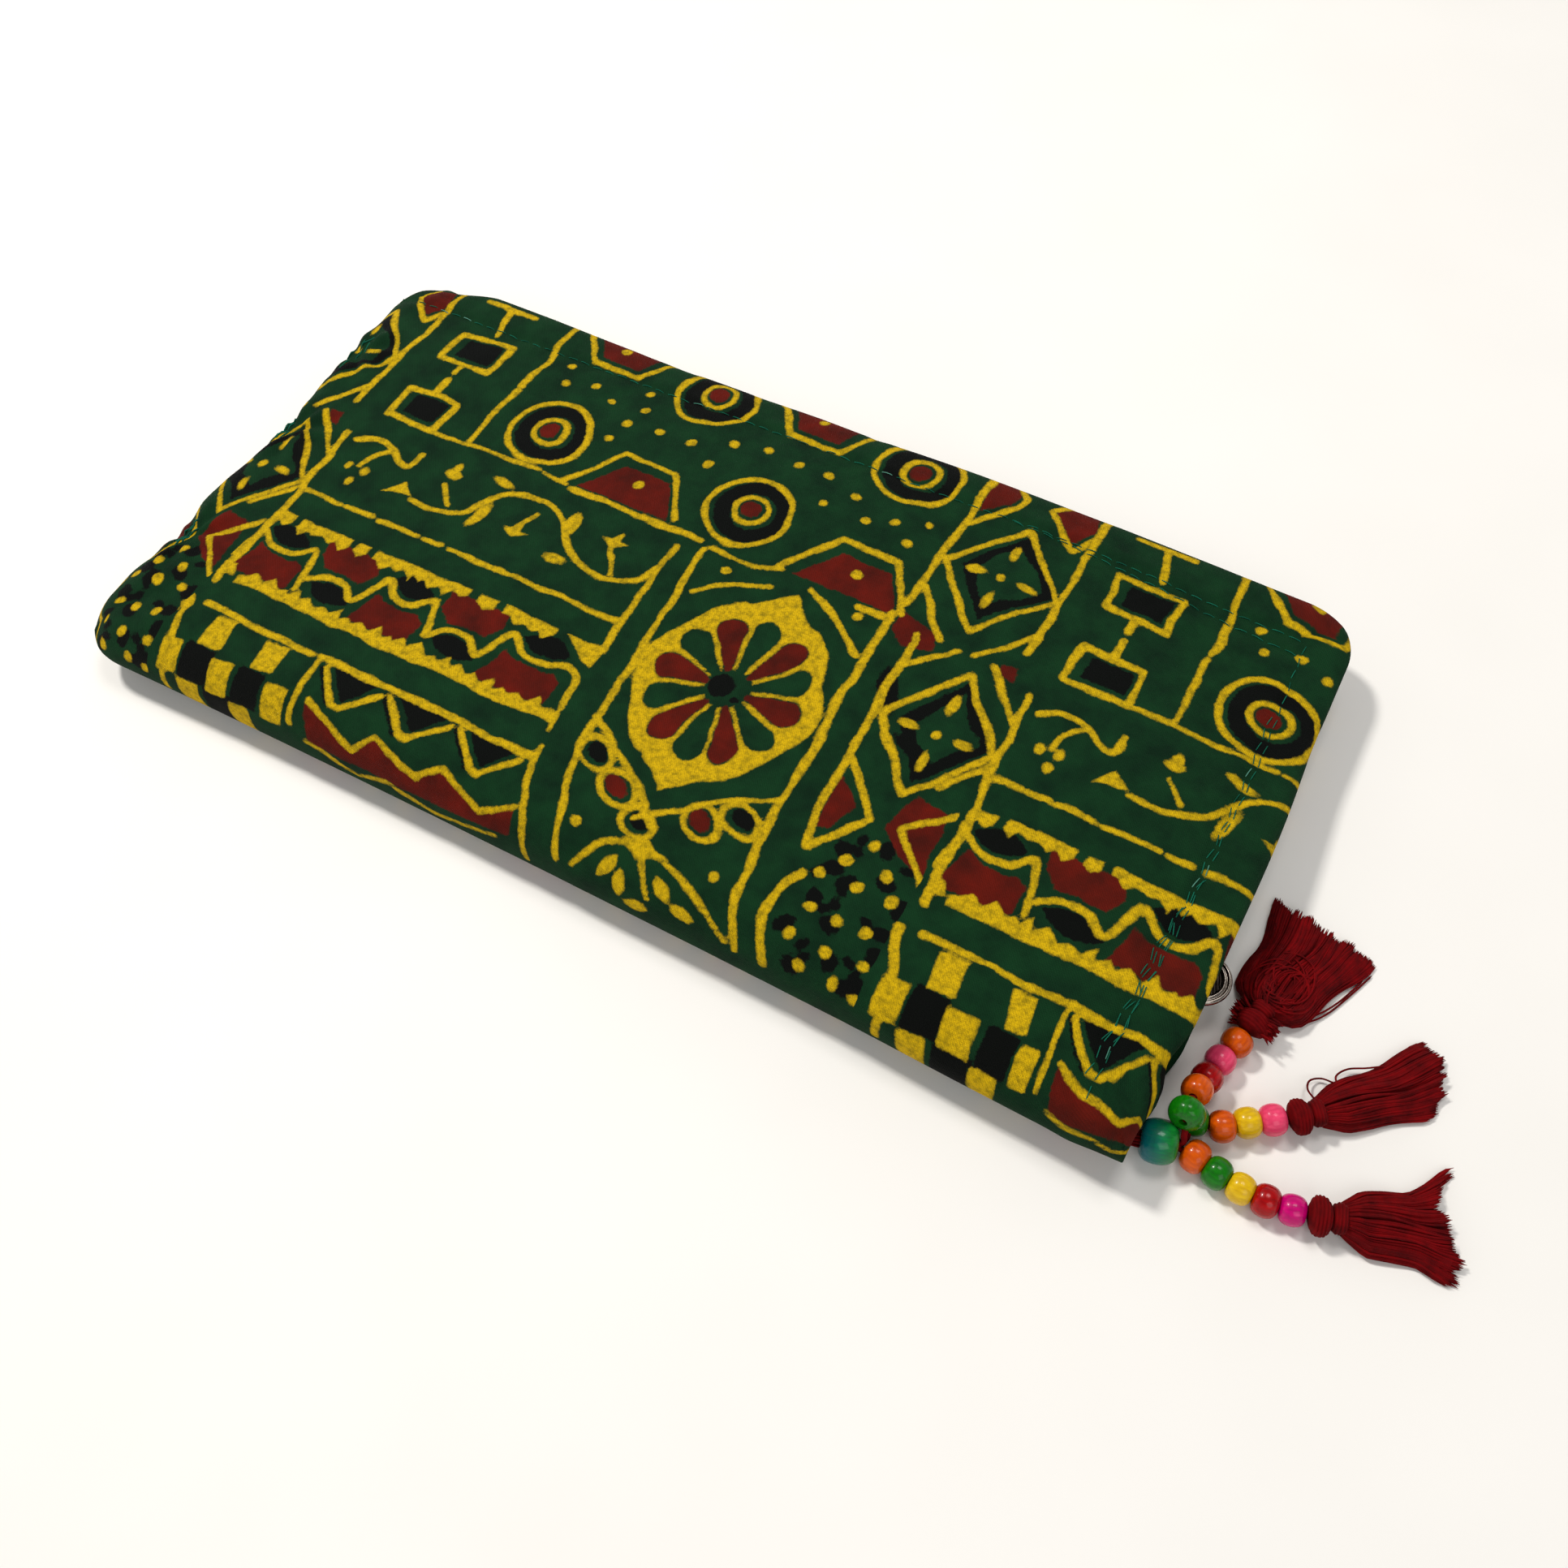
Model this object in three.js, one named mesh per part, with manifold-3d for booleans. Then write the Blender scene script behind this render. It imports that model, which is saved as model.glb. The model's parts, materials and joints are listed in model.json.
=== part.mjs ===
// Soft zip pouch for glasses, lying flat, with a beaded three-tassel charm at one corner.
// Millimetres. +X runs along the long side towards the zip's closed end, +Y towards the
// zipped long edge, +Z up. The origin is under the middle of the pouch, on the table.
import * as THREE from 'three';
import Module from 'manifold-3d';
import { mergeVertices } from 'three/addons/utils/BufferGeometryUtils.js';

// ---- Driving dimensions -------------------------------------------------------------
const LENGTH = 200;
const WIDTH = 104;
const HEIGHT = 14;
const COVER = 0.6;
const PADDING = 1.6;
const LINING = 0.4;
const GAP = 0.3;

const WALL = 1.8;
const FRONT_CORNER = 10;
const BACK_CORNER = 8;
const LOWER_LIP_INSET = 1;
const PADDING_INSET = 1.5;

const ZIP_INSET = 8.5;
const ZIP_CORNER = 8;
const ZIP_FRONT_Y = -49.5;
const ZIP_LEFT_X = -97.5;
const TAPE = 0.5;
const TAPE_HEIGHT = 0.9;
const COIL = 1.7;
const COIL_HEIGHT = 1.5;
const COIL_FRONT_Y = -31;
const COIL_LEFT_X = -86;
const TOP_STOP_Y = [-35.6, -33.8];
const BOTTOM_STOP_LENGTH = 2.5;
const BOTTOM_STOP_HIGH_Z = 7.6;

const SLIDER_Y = -28;
const SLIDER_LENGTH = 9;
const SLIDER_LOW_Z = 3.7;
const SLIDER_HIGH_Z = 9.9;
const PLATE = 0.8;
const OUTER_PLATE_OFFSET = 1.5;
const INNER_PLATE_OFFSET = 1.3;
const LIP_HEIGHT = 0.6;
const POST_LENGTH = 1.6;
const POST_Z = [6.5, 7.5];
const BRIDGE_HALF = 3;
const BRIDGE_REACH = 2.1;
const BRIDGE_LEG = 0.8;
const BRIDGE_WEB = 0.65;
const BRIDGE_Z = [5.8, 7.8];
const BAIL_Z = [4.5, 9.1];
const BAIL_WIRE = 0.4;
const BAIL_REACH = 5.3;
const BAIL_TURN = 61.2 * Math.PI / 180;
const DISC_RADIUS = 4.4;
const DISC_THICK = 1.2;
const DISC_Z = 6.2;
const DISC_EYE = 3.5;

const BEAD_RADIUS = 2.3;
const BEAD_LENGTH = 3.35;
const BEAD_HOLE = 0.85;
const BIG_BEAD_RADIUS = 3.1;
const BIG_BEAD_LENGTH = 5;
const BIG_BEAD_HOLE = 1.6;
const BUNDLE_RADIUS = 1.1;
const CORD_RADIUS = 0.45;
const SKIRT_LOW_Z = 0.2;
const SKIRT_HIGH_Z = 4.4;
const ROUND_SIDES = 16;

// ---- Heights of the layers, from the table up ----------------------------------------
const COVER_TOP = COVER;
const PADDING_LOW = COVER_TOP + GAP;
const PADDING_TOP = PADDING_LOW + PADDING;
const LINING_LOW = PADDING_TOP + GAP;
const LINING_TOP = LINING_LOW + LINING;
const TAPE_LOW = LINING_TOP + GAP;
const COIL_LOW = TAPE_LOW + TAPE_HEIGHT + GAP;

const HALF_X = LENGTH / 2;
const HALF_Y = WIDTH / 2;
const CHAIN_X = HALF_X - ZIP_INSET;
const CHAIN_Y = HALF_Y - ZIP_INSET + 0.5;
const INNER_X = HALF_X - WALL - GAP;
const INNER_Y = HALF_Y - WALL - GAP;
const FOLD_SLOPE = WIDTH / LENGTH;
const FOLD_GAP = GAP * 1.13;

const wasm = await Module();
wasm.setup();

const pouch = new THREE.Group();

// ---- Materials --------------------------------------------------------------------------
const PRINT = { color: 0x16452a, roughness: 0.85, metalness: 0 };
const WADDING = { color: 0xe9e4d8, roughness: 0.95, metalness: 0 };
const LINING_CLOTH = { color: 0x5e140d, roughness: 0.9, metalness: 0 };
const ZIP_CLOTH = { color: 0x123a26, roughness: 0.85, metalness: 0 };
const COIL_NYLON = { color: 0x1a4a33, roughness: 0.5, metalness: 0 };
const NICKEL = { color: 0xc9c7c4, roughness: 0.2, metalness: 1 };
const MAROON = { color: 0x6a0008, roughness: 0.9, metalness: 0 };
const TEAL = 0x0a5a58;
const GREEN = 0x1e8a14;
const ORANGE = 0xd86a0a;
const RED = 0xb00008;
const PINK = 0xf05586;
const YELLOW = 0xe8c020;
const MAGENTA = 0xd8007a;

function add(name, geometry, finish) {
  const mesh = new THREE.Mesh(geometry, new THREE.MeshStandardMaterial(finish));
  mesh.name = name;
  pouch.add(mesh);
  return mesh;
}

function lacquer(color) {
  return { color, roughness: 0.3, metalness: 0 };
}

// ---- Joining and cutting ----------------------------------------------------------------
function toSolid(geometry) {
  const bare = geometry.clone();
  bare.deleteAttribute('normal');
  bare.deleteAttribute('uv');
  const merged = mergeVertices(bare, 1e-4);
  const vertProperties = new Float32Array(merged.attributes.position.array);
  const triVerts = new Uint32Array(merged.index.array);
  return new wasm.Manifold(new wasm.Mesh({ numProp: 3, vertProperties, triVerts }));
}

function toGeometry(solid) {
  const mesh = solid.getMesh();
  const geometry = new THREE.BufferGeometry();
  geometry.setAttribute('position', new THREE.BufferAttribute(mesh.vertProperties, 3));
  geometry.setIndex(new THREE.BufferAttribute(mesh.triVerts, 1));
  geometry.computeVertexNormals();
  return geometry;
}

function join(geometries) {
  return toGeometry(geometries.map(toSolid).reduce((whole, piece) => whole.add(piece)));
}

function cut(geometry, tool) {
  return toGeometry(toSolid(geometry).subtract(toSolid(tool)));
}

// ---- Flat shapes ------------------------------------------------------------------------
function prism(shape, low, high, curveSegments = 6) {
  const geometry = new THREE.ExtrudeGeometry(shape, {
    depth: high - low,
    bevelEnabled: false,
    curveSegments,
  });
  return geometry.translate(0, 0, low);
}

function block(x, y, z) {
  const geometry = new THREE.BoxGeometry(x[1] - x[0], y[1] - y[0], z[1] - z[0]);
  return geometry.translate((x[0] + x[1]) / 2, (y[0] + y[1]) / 2, (z[0] + z[1]) / 2);
}

// The lower panel: rounded at every corner but the front right one, where the fold ends.
function lowerOutline(inset) {
  const left = -INNER_X + inset;
  const right = HALF_X - LOWER_LIP_INSET - inset;
  const front = -INNER_Y + inset;
  const back = HALF_Y - inset;
  const shape = new THREE.Shape();
  shape.moveTo(left + FRONT_CORNER, front);
  shape.lineTo(right, front);
  shape.lineTo(right, back - BACK_CORNER);
  shape.absarc(right - BACK_CORNER, back - BACK_CORNER, BACK_CORNER, 0, Math.PI / 2);
  shape.lineTo(left + BACK_CORNER, back);
  shape.absarc(left + BACK_CORNER, back - BACK_CORNER, BACK_CORNER, Math.PI / 2, Math.PI);
  shape.lineTo(left, front + FRONT_CORNER);
  shape.absarc(left + FRONT_CORNER, front + FRONT_CORNER, FRONT_CORNER, Math.PI, 1.5 * Math.PI);
  return shape;
}

// The half of the upper panel that stays down, in front of the diagonal fold line.
function stayingOutline(inset) {
  const left = -INNER_X + inset;
  const front = -INNER_Y + inset;
  const foldAt = (x) => -FOLD_SLOPE * x - FOLD_GAP - inset;
  const shape = new THREE.Shape();
  shape.moveTo(left + FRONT_CORNER, front);
  shape.lineTo((-front - FOLD_GAP - inset) / FOLD_SLOPE, front);
  shape.lineTo(left, foldAt(left));
  shape.lineTo(left, front + FRONT_CORNER);
  shape.absarc(left + FRONT_CORNER, front + FRONT_CORNER, FRONT_CORNER, Math.PI, 1.5 * Math.PI);
  return shape;
}

// The half of the upper panel that lifts, behind the diagonal fold line.
function liftingOutline(inset) {
  const front = -INNER_Y + GAP + inset;
  const right = HALF_X - inset;
  const back = HALF_Y - inset;
  const foldAt = (y) => (FOLD_GAP + inset - y) / FOLD_SLOPE;
  const left = Math.max(-INNER_X + GAP + inset, foldAt(back));
  const shape = new THREE.Shape();
  shape.moveTo(foldAt(front), front);
  shape.lineTo(right, front);
  shape.lineTo(right, back - BACK_CORNER);
  shape.absarc(right - BACK_CORNER, back - BACK_CORNER, BACK_CORNER, 0, Math.PI / 2);
  shape.lineTo(left, back);
  if (left > foldAt(back)) {
    shape.lineTo(left, -FOLD_SLOPE * left + FOLD_GAP + inset);
  }
  return shape;
}

// A standing strip that follows an L in plan: one leg along X, a round corner, one leg along Y.
function cornerStrip(ends, corner, radius, half, heights) {
  const towardsX = Math.sign(ends.x - corner.x);
  const towardsY = Math.sign(ends.y - corner.y);
  const centre = { x: corner.x + towardsX * radius, y: corner.y + towardsY * radius };
  const side = (offset) => {
    const points = [new THREE.Vector2(ends.x, corner.y - towardsY * offset)];
    const steps = 6;
    for (let i = 0; i <= steps; i += 1) {
      const turn = (i / steps) * Math.PI / 2;
      const reach = radius + offset;
      points.push(new THREE.Vector2(
        centre.x - towardsX * reach * Math.sin(turn),
        centre.y - towardsY * reach * Math.cos(turn),
      ));
    }
    points.push(new THREE.Vector2(corner.x - towardsX * offset, ends.y));
    return points;
  };
  const outline = [...side(half), ...side(-half).reverse()];
  return prism(new THREE.Shape(outline), heights[0], heights[1]);
}

// ---- Cloth, padding and lining ----------------------------------------------------------
function addPanels() {
  const flip = (z) => HEIGHT - z;
  add('cover_bottom', prism(lowerOutline(0), 0, COVER_TOP), PRINT);
  add('padding_bottom', prism(lowerOutline(PADDING_INSET), PADDING_LOW, PADDING_TOP), WADDING);
  add('lining_bottom', prism(lowerOutline(PADDING_INSET), LINING_LOW, LINING_TOP), LINING_CLOTH);
  const halves = [['fixed', stayingOutline], ['flap', liftingOutline]];
  for (const [half, outline] of halves) {
    const inner = outline(PADDING_INSET);
    add(`cover_top_${half}`, prism(outline(0), flip(COVER_TOP), HEIGHT), PRINT);
    add(`padding_top_${half}`, prism(inner, flip(PADDING_TOP), flip(PADDING_LOW)), WADDING);
    add(`lining_top_${half}`, prism(inner, flip(LINING_TOP), flip(LINING_LOW)), LINING_CLOTH);
  }
}

function addClosedEdges() {
  const middle = WALL / 2;
  const corner = { x: -HALF_X + middle, y: -HALF_Y + middle };
  const ends = { x: HALF_X - 0.5, y: -HALF_Y + FRONT_CORNER };
  add('front_fold', cornerStrip(ends, corner, FRONT_CORNER - middle, middle, [0, HEIGHT]), PRINT);
  const seam = block(
    [-HALF_X, -HALF_X + WALL],
    [ends.y + GAP, HALF_Y - BACK_CORNER],
    [0, HEIGHT],
  );
  add('left_end_seam', seam, PRINT);
}

// ---- Zip --------------------------------------------------------------------------------
function addZip() {
  const corner = { x: CHAIN_X, y: CHAIN_Y };
  const tapeEnds = { x: ZIP_LEFT_X, y: ZIP_FRONT_Y };
  const coilEnds = { x: COIL_LEFT_X, y: COIL_FRONT_Y };
  const rows = [['lower', (z) => z], ['upper', (z) => HEIGHT - z]];
  for (const [row, level] of rows) {
    const tape = [level(TAPE_LOW), level(TAPE_LOW + TAPE_HEIGHT)].sort((a, b) => a - b);
    const coil = [level(COIL_LOW), level(COIL_LOW + COIL_HEIGHT)].sort((a, b) => a - b);
    add(`zip_tape_${row}`, cornerStrip(tapeEnds, corner, ZIP_CORNER, TAPE / 2, tape), ZIP_CLOTH);
    add(`zip_coil_${row}`, cornerStrip(coilEnds, corner, ZIP_CORNER, COIL / 2, coil), COIL_NYLON);
    const stop = block([CHAIN_X - 1, CHAIN_X + 1], TOP_STOP_Y, coil);
    add(`top_stop_${row}`, stop, NICKEL);
  }
  const endX = [COIL_LEFT_X - 0.5 - BOTTOM_STOP_LENGTH, COIL_LEFT_X - 0.5];
  const endStop = block(endX, [CHAIN_Y - 1, CHAIN_Y + 1], [COIL_LOW, BOTTOM_STOP_HIGH_Z]);
  add('bottom_stop', endStop, NICKEL);
}

// The slider grips the lower row between two plates and two lips; above the post it is open,
// so that the upper row can lift out of it.
function addSlider() {
  const y = [SLIDER_Y - SLIDER_LENGTH / 2, SLIDER_Y + SLIDER_LENGTH / 2];
  const z = [SLIDER_LOW_Z, SLIDER_HIGH_Z];
  const outer = [CHAIN_X + OUTER_PLATE_OFFSET, CHAIN_X + OUTER_PLATE_OFFSET + PLATE];
  const inner = [CHAIN_X - INNER_PLATE_OFFSET - PLATE, CHAIN_X - INNER_PLATE_OFFSET];
  const lipZ = [SLIDER_LOW_Z, SLIDER_LOW_Z + LIP_HEIGHT];
  const body = join([
    block(outer, y, z),
    block(inner, y, z),
    block([CHAIN_X + 0.6, outer[0] + 0.1], y, lipZ),
    block([inner[1] - 0.1, CHAIN_X - 0.6], y, lipZ),
    block([inner[1] - 0.1, outer[0] + 0.1], [y[0], y[0] + POST_LENGTH], POST_Z),
  ]);
  add('slider_body', body, NICKEL);
  const face = outer[1] + 0.02;
  const gap = BRIDGE_HALF - BRIDGE_LEG;
  const arch = cut(
    block([face, face + BRIDGE_REACH], [SLIDER_Y - BRIDGE_HALF, SLIDER_Y + BRIDGE_HALF], BRIDGE_Z),
    block([face - 1, face + BRIDGE_REACH - BRIDGE_WEB], [SLIDER_Y - gap, SLIDER_Y + gap], [5, 9]),
  );
  add('slider_bridge', arch, NICKEL);
}

function rod(from, to, radius, sides = 10) {
  const path = new THREE.LineCurve3(from, to);
  return tube(path, radius, 1, sides);
}

function addPull() {
  const near = new THREE.Vector3(CHAIN_X + 3.05, SLIDER_Y, 0);
  const along = new THREE.Vector3(Math.cos(BAIL_TURN), Math.sin(BAIL_TURN), 0);
  const far = near.clone().addScaledVector(along, BAIL_REACH);
  const [low, high] = BAIL_Z;
  const bar = (at) => rod(at.clone().setZ(low), at.clone().setZ(high), BAIL_WIRE);
  const rail = (z) => {
    const start = near.clone().addScaledVector(along, -BAIL_WIRE);
    const end = far.clone().addScaledVector(along, BAIL_WIRE);
    return rod(start.setZ(z), end.setZ(z), BAIL_WIRE);
  };
  const bail = join([bar(near), bar(far), rail(low + BAIL_WIRE), rail(high - BAIL_WIRE)]);
  add('pull_bail', bail, NICKEL);
  const centre = far.clone().addScaledVector(along, DISC_EYE).setZ(DISC_Z);
  const half = DISC_THICK / 2;
  const rim = DISC_RADIUS;
  const profile = [[0, -half], [rim - 0.3, -half], [rim, 0], [rim - 0.4, half], [rim - 1.1, half],
    [rim - 1.4, 0.2], [0, 0.2]];
  const plate = new THREE.LatheGeometry(profile.map(([r, h]) => new THREE.Vector2(r, h)), 28);
  plate.rotateX(Math.PI / 2);
  plate.translate(centre.x, centre.y, centre.z);
  const eye = rod(far.clone().setZ(0), far.clone().setZ(HEIGHT), BAIL_WIRE + 0.35);
  add('pull_disc', cut(plate, eye), NICKEL);
}

// ---- Cords, beads and tassels -----------------------------------------------------------
function tube(path, radius, steps, sides = 8) {
  const section = new THREE.Shape();
  for (let i = 0; i < sides; i += 1) {
    const turn = (i / sides) * 2 * Math.PI;
    const place = [radius * Math.cos(turn), radius * Math.sin(turn)];
    if (i === 0) {
      section.moveTo(...place);
    } else {
      section.lineTo(...place);
    }
  }
  return new THREE.ExtrudeGeometry(section, { steps, extrudePath: path, bevelEnabled: false });
}

// A barrel-shaped bead about its own Z axis, with a hole through it.
function beadGeometry(radius, length, hole) {
  const half = length / 2;
  const face = radius * 0.68;
  const profile = [[hole, -half], [face, -half], [radius * 0.93, -half * 0.55], [radius, 0],
    [radius * 0.93, half * 0.55], [face, half], [hole, half], [hole, -half]];
  return new THREE.LatheGeometry(profile.map(([r, h]) => new THREE.Vector2(r, h)), ROUND_SIDES)
    .rotateX(Math.PI / 2);
}

function aim(mesh, place, direction) {
  mesh.position.copy(place);
  mesh.quaternion.setFromUnitVectors(new THREE.Vector3(0, 0, 1), direction.clone().normalize());
}

const BUNDLE_AXIS = new THREE.Vector3(0.951, 0.309, 0);
const BIG_BEAD_PLACE = new THREE.Vector3(102.6, -45.2, 3.2);

// Each strand: the first bead rides by the big bead, the others hang beyond the first bend.
const STRANDS = {
  a: {
    enters: [105.6, -43.9, 4.2],
    beads: [[104.5, -41.0, 6.9, GREEN], [104.5, -36.6, 5.7, ORANGE], [105.1, -33.2, 3.2, RED],
      [105.8, -29.3, 2.4, PINK], [106.9, -25.6, 2.4, ORANGE]],
    head: [107.9, -21.4, 3.1],
    turn: 79,
    headWidth: 3.1,
    skirt: [[2.9, 2.2], [4.6, 3.6], [8, 5], [13, 5.9], [21.5, 7.2]],
  },
  b: {
    enters: [105.8, -42.6, 2.4],
    beads: [[105.9, -39.6, 2.4, GREEN], [109.6, -38.6, 2.4, ORANGE], [112.5, -36.4, 2.4, YELLOW],
      [115.5, -34.3, 2.4, PINK]],
    head: [118.9, -32.0, 2.9],
    turn: 46,
    headWidth: 2.7,
    skirt: [[2.9, 2], [5.5, 3.3], [10, 3.7], [16, 4], [21.5, 4.6]],
  },
  c: {
    enters: [105.9, -44.5, 2.6],
    beads: [[107.9, -44.5, 2.4, ORANGE], [111.4, -45.3, 2.4, GREEN], [115.0, -45.8, 2.4, YELLOW],
      [118.6, -45.8, 2.4, RED], [122.2, -45.3, 2.4, MAGENTA]],
    head: [126.1, -44.3, 2.9],
    turn: 24,
    headWidth: 2.7,
    skirt: [[2.9, 2], [5.5, 3.2], [10, 3.9], [14, 5.2], [18.5, 7]],
  },
};

function point([x, y, z]) {
  return new THREE.Vector3(x, y, z);
}

function addStrand(name, strand) {
  const beads = strand.beads.map(point);
  const head = point(strand.head);
  const route = [point(strand.enters), ...beads, head];
  beads.forEach((place, i) => {
    const ahead = i === 0 ? beads[1].clone().sub(beads[0]) : route[i + 2].clone().sub(route[i]);
    const geometry = beadGeometry(BEAD_RADIUS, BEAD_LENGTH, BEAD_HOLE);
    aim(add(`bead_${name}${i + 1}`, geometry, lacquer(strand.beads[i][3])), place, ahead);
  });
  const start = beads[1].clone().addScaledVector(beads[1].clone().sub(beads[0]).normalize(), -1.6);
  const last = beads[beads.length - 1];
  const stop = last.clone().addScaledVector(head.clone().sub(last).normalize(), 1.35);
  const curve = new THREE.CatmullRomCurve3([start, ...beads.slice(1), stop]);
  add(`strand_cord_${name}`, tube(curve, CORD_RADIUS, 12), MAROON);
  addTassel(name, strand, head, last);
}

// A wrapped head with a domed neck, and the spread skirt of cut threads beyond it.
function addTassel(name, strand, head, last) {
  const width = strand.headWidth;
  const profile = [[0, -2.3], [1.4, -1.9], [width * 0.9, -0.9], [width, 0.6], [width * 0.8, 1.8],
    [1.6, 2.4], [0, 2.4]];
  const rings = profile.map(([r, h]) => new THREE.Vector2(r, h));
  const lathe = new THREE.LatheGeometry(rings, ROUND_SIDES).rotateX(Math.PI / 2);
  const turn = strand.turn * Math.PI / 180;
  const along = new THREE.Vector3(Math.cos(turn), Math.sin(turn), 0);
  const nod = head.clone().sub(last).normalize().lerp(along, 0.5);
  const wrapped = add(`tassel_head_${name}`, lathe, MAROON);
  aim(wrapped, head, nod.setZ(0));
  const outline = [
    ...strand.skirt.map(([t, half]) => new THREE.Vector2(t, -half)),
    ...[...strand.skirt].reverse().map(([t, half]) => new THREE.Vector2(t, half)),
  ];
  const fan = prism(new THREE.Shape(outline), SKIRT_LOW_Z, SKIRT_HIGH_Z);
  const skirt = add(`tassel_skirt_${name}`, fan, MAROON);
  skirt.position.set(head.x, head.y, 0);
  skirt.rotation.z = turn;
}

function addCharm() {
  const route = [[94.6, -47.8, 5.6], [96.8, -47.1, 5.2]].map(point);
  const inBead = (t) => BIG_BEAD_PLACE.clone().addScaledVector(BUNDLE_AXIS, t);
  const curve = new THREE.CatmullRomCurve3([...route, ...[-3.4, -1.5, 0.4, 2.3].map(inBead)]);
  add('corner_thread', tube(curve, BUNDLE_RADIUS, 14), MAROON);
  const bigBead = beadGeometry(BIG_BEAD_RADIUS, BIG_BEAD_LENGTH, BIG_BEAD_HOLE);
  aim(add('big_bead', bigBead, lacquer(TEAL)), BIG_BEAD_PLACE, BUNDLE_AXIS);
  for (const [name, strand] of Object.entries(STRANDS)) {
    addStrand(name, strand);
  }
}

addPanels();
addClosedEdges();
addZip();
addSlider();
addPull();
addCharm();

export default pouch;
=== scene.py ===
"""Looks for the soft zip glasses pouch with a beaded tassel charm.

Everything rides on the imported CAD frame. Shapes are worked out in millimetres and turned into
metres when a mesh is made. +X runs towards the end where the charm hangs, +Y towards the back.
"""

import json
import math

import bpy
import numpy as np
from mathutils import Matrix, Quaternion, Vector


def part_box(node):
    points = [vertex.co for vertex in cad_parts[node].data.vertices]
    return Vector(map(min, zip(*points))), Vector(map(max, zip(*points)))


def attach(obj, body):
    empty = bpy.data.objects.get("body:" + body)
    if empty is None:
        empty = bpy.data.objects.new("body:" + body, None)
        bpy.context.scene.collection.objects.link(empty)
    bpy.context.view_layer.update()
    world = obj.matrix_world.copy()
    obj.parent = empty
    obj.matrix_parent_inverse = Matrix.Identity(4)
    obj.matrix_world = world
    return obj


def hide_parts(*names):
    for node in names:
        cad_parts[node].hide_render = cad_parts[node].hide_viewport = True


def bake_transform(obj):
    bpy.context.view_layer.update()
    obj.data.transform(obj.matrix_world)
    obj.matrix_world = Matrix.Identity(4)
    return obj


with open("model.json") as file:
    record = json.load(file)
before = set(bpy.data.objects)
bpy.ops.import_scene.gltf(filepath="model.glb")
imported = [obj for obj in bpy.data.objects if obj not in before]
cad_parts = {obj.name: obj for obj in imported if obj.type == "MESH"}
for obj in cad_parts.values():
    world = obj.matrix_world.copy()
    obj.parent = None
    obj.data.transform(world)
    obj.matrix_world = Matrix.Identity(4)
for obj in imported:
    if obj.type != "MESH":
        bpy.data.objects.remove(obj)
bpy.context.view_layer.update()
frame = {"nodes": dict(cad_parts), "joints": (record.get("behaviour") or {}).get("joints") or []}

MM = 0.001
UP = np.array([0.0, 0.0, 1.0])


# ---- Places read from the frame ---------------------------------------------------------------
def low_mm(node):
    return np.array(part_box(node)[0]) / MM


def high_mm(node):
    return np.array(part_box(node)[1]) / MM


def middle_mm(node):
    return (low_mm(node) + high_mm(node)) / 2


HALF_X = high_mm("cover_top_flap")[0]
HALF_Y = high_mm("cover_top_flap")[1]
TOP = high_mm("cover_top_flap")[2]
COIL_HALF = 0.85
CHAIN_X = high_mm("zip_coil_lower")[0] - COIL_HALF
CHAIN_Y = high_mm("zip_coil_lower")[1] - COIL_HALF


# ---- Camera -----------------------------------------------------------------------------------
CAMERA_PLACE = Vector((0.1021, -0.1283, 0.2105))
CAMERA_TARGET = Vector((0.0252, -0.0160, 0.0))
CAMERA_ROLL = -5.71
CAMERA_LENS = 34.5


def add_camera():
    data = bpy.data.cameras.new("camera")
    data.lens = CAMERA_LENS
    data.sensor_width = 36
    data.clip_start = 0.005
    camera = bpy.data.objects.new("camera", data)
    bpy.context.scene.collection.objects.link(camera)
    aim = (CAMERA_TARGET - CAMERA_PLACE).to_track_quat("-Z", "Y")
    turn = aim @ Quaternion((0, 0, 1), math.radians(CAMERA_ROLL))
    camera.matrix_world = Matrix.Translation(CAMERA_PLACE) @ turn.to_matrix().to_4x4()
    bpy.context.scene.camera = camera


# ---- Small maths ------------------------------------------------------------------------------
def smooth(low, high, value):
    t = np.clip((value - low) / (high - low), 0, 1)
    return t * t * (3 - 2 * t)


def noise(x, y, cell, seed):
    """Soft noise from -1 to 1 over a plane, the same each time."""
    table = np.random.default_rng(seed).random((64, 64))
    gx, gy = np.asarray(x) / cell, np.asarray(y) / cell
    ix, iy = np.floor(gx).astype(int), np.floor(gy).astype(int)
    fx, fy = smooth(0, 1, gx - ix), smooth(0, 1, gy - iy)

    def at(i, j):
        return table[(ix + i) % 64, (iy + j) % 64]

    low = at(0, 0) * (1 - fx) + at(1, 0) * fx
    high = at(0, 1) * (1 - fx) + at(1, 1) * fx
    return (low * (1 - fy) + high * fy) * 2 - 1


def unit(v):
    return v / np.maximum(np.linalg.norm(v, axis=-1, keepdims=True), 1e-9)


def between(a, b, c, d, t):
    """The place at share t of the way from b to c, on the smooth curve through all four."""
    return 0.5 * (2 * b + (c - a) * t + (2 * a - 5 * b + 4 * c - d) * t ** 2
        + (3 * b - a - 3 * c + d) * t ** 3)


def evenly(line, count):
    """Count points at even steps along a line, and how far along it each one is."""
    along = np.r_[0, np.cumsum(np.linalg.norm(np.diff(line, axis=0), axis=1))]
    wanted = np.linspace(0, along[-1], count)
    return np.stack([np.interp(wanted, along, column) for column in line.T], 1), wanted


def curve(points, count):
    """An even line of count points along the smooth curve through the given points."""
    p = np.asarray(points, float)
    p = np.vstack([2 * p[0] - p[1], p, 2 * p[-1] - p[-2]])
    t = np.linspace(0, 1, 24, endpoint=False)[:, None]
    dense = [between(a, b, c, d, t) for a, b, c, d in zip(p, p[1:], p[2:], p[3:])]
    return evenly(np.vstack([*dense, p[-2:-1]]), count)[0]


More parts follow.
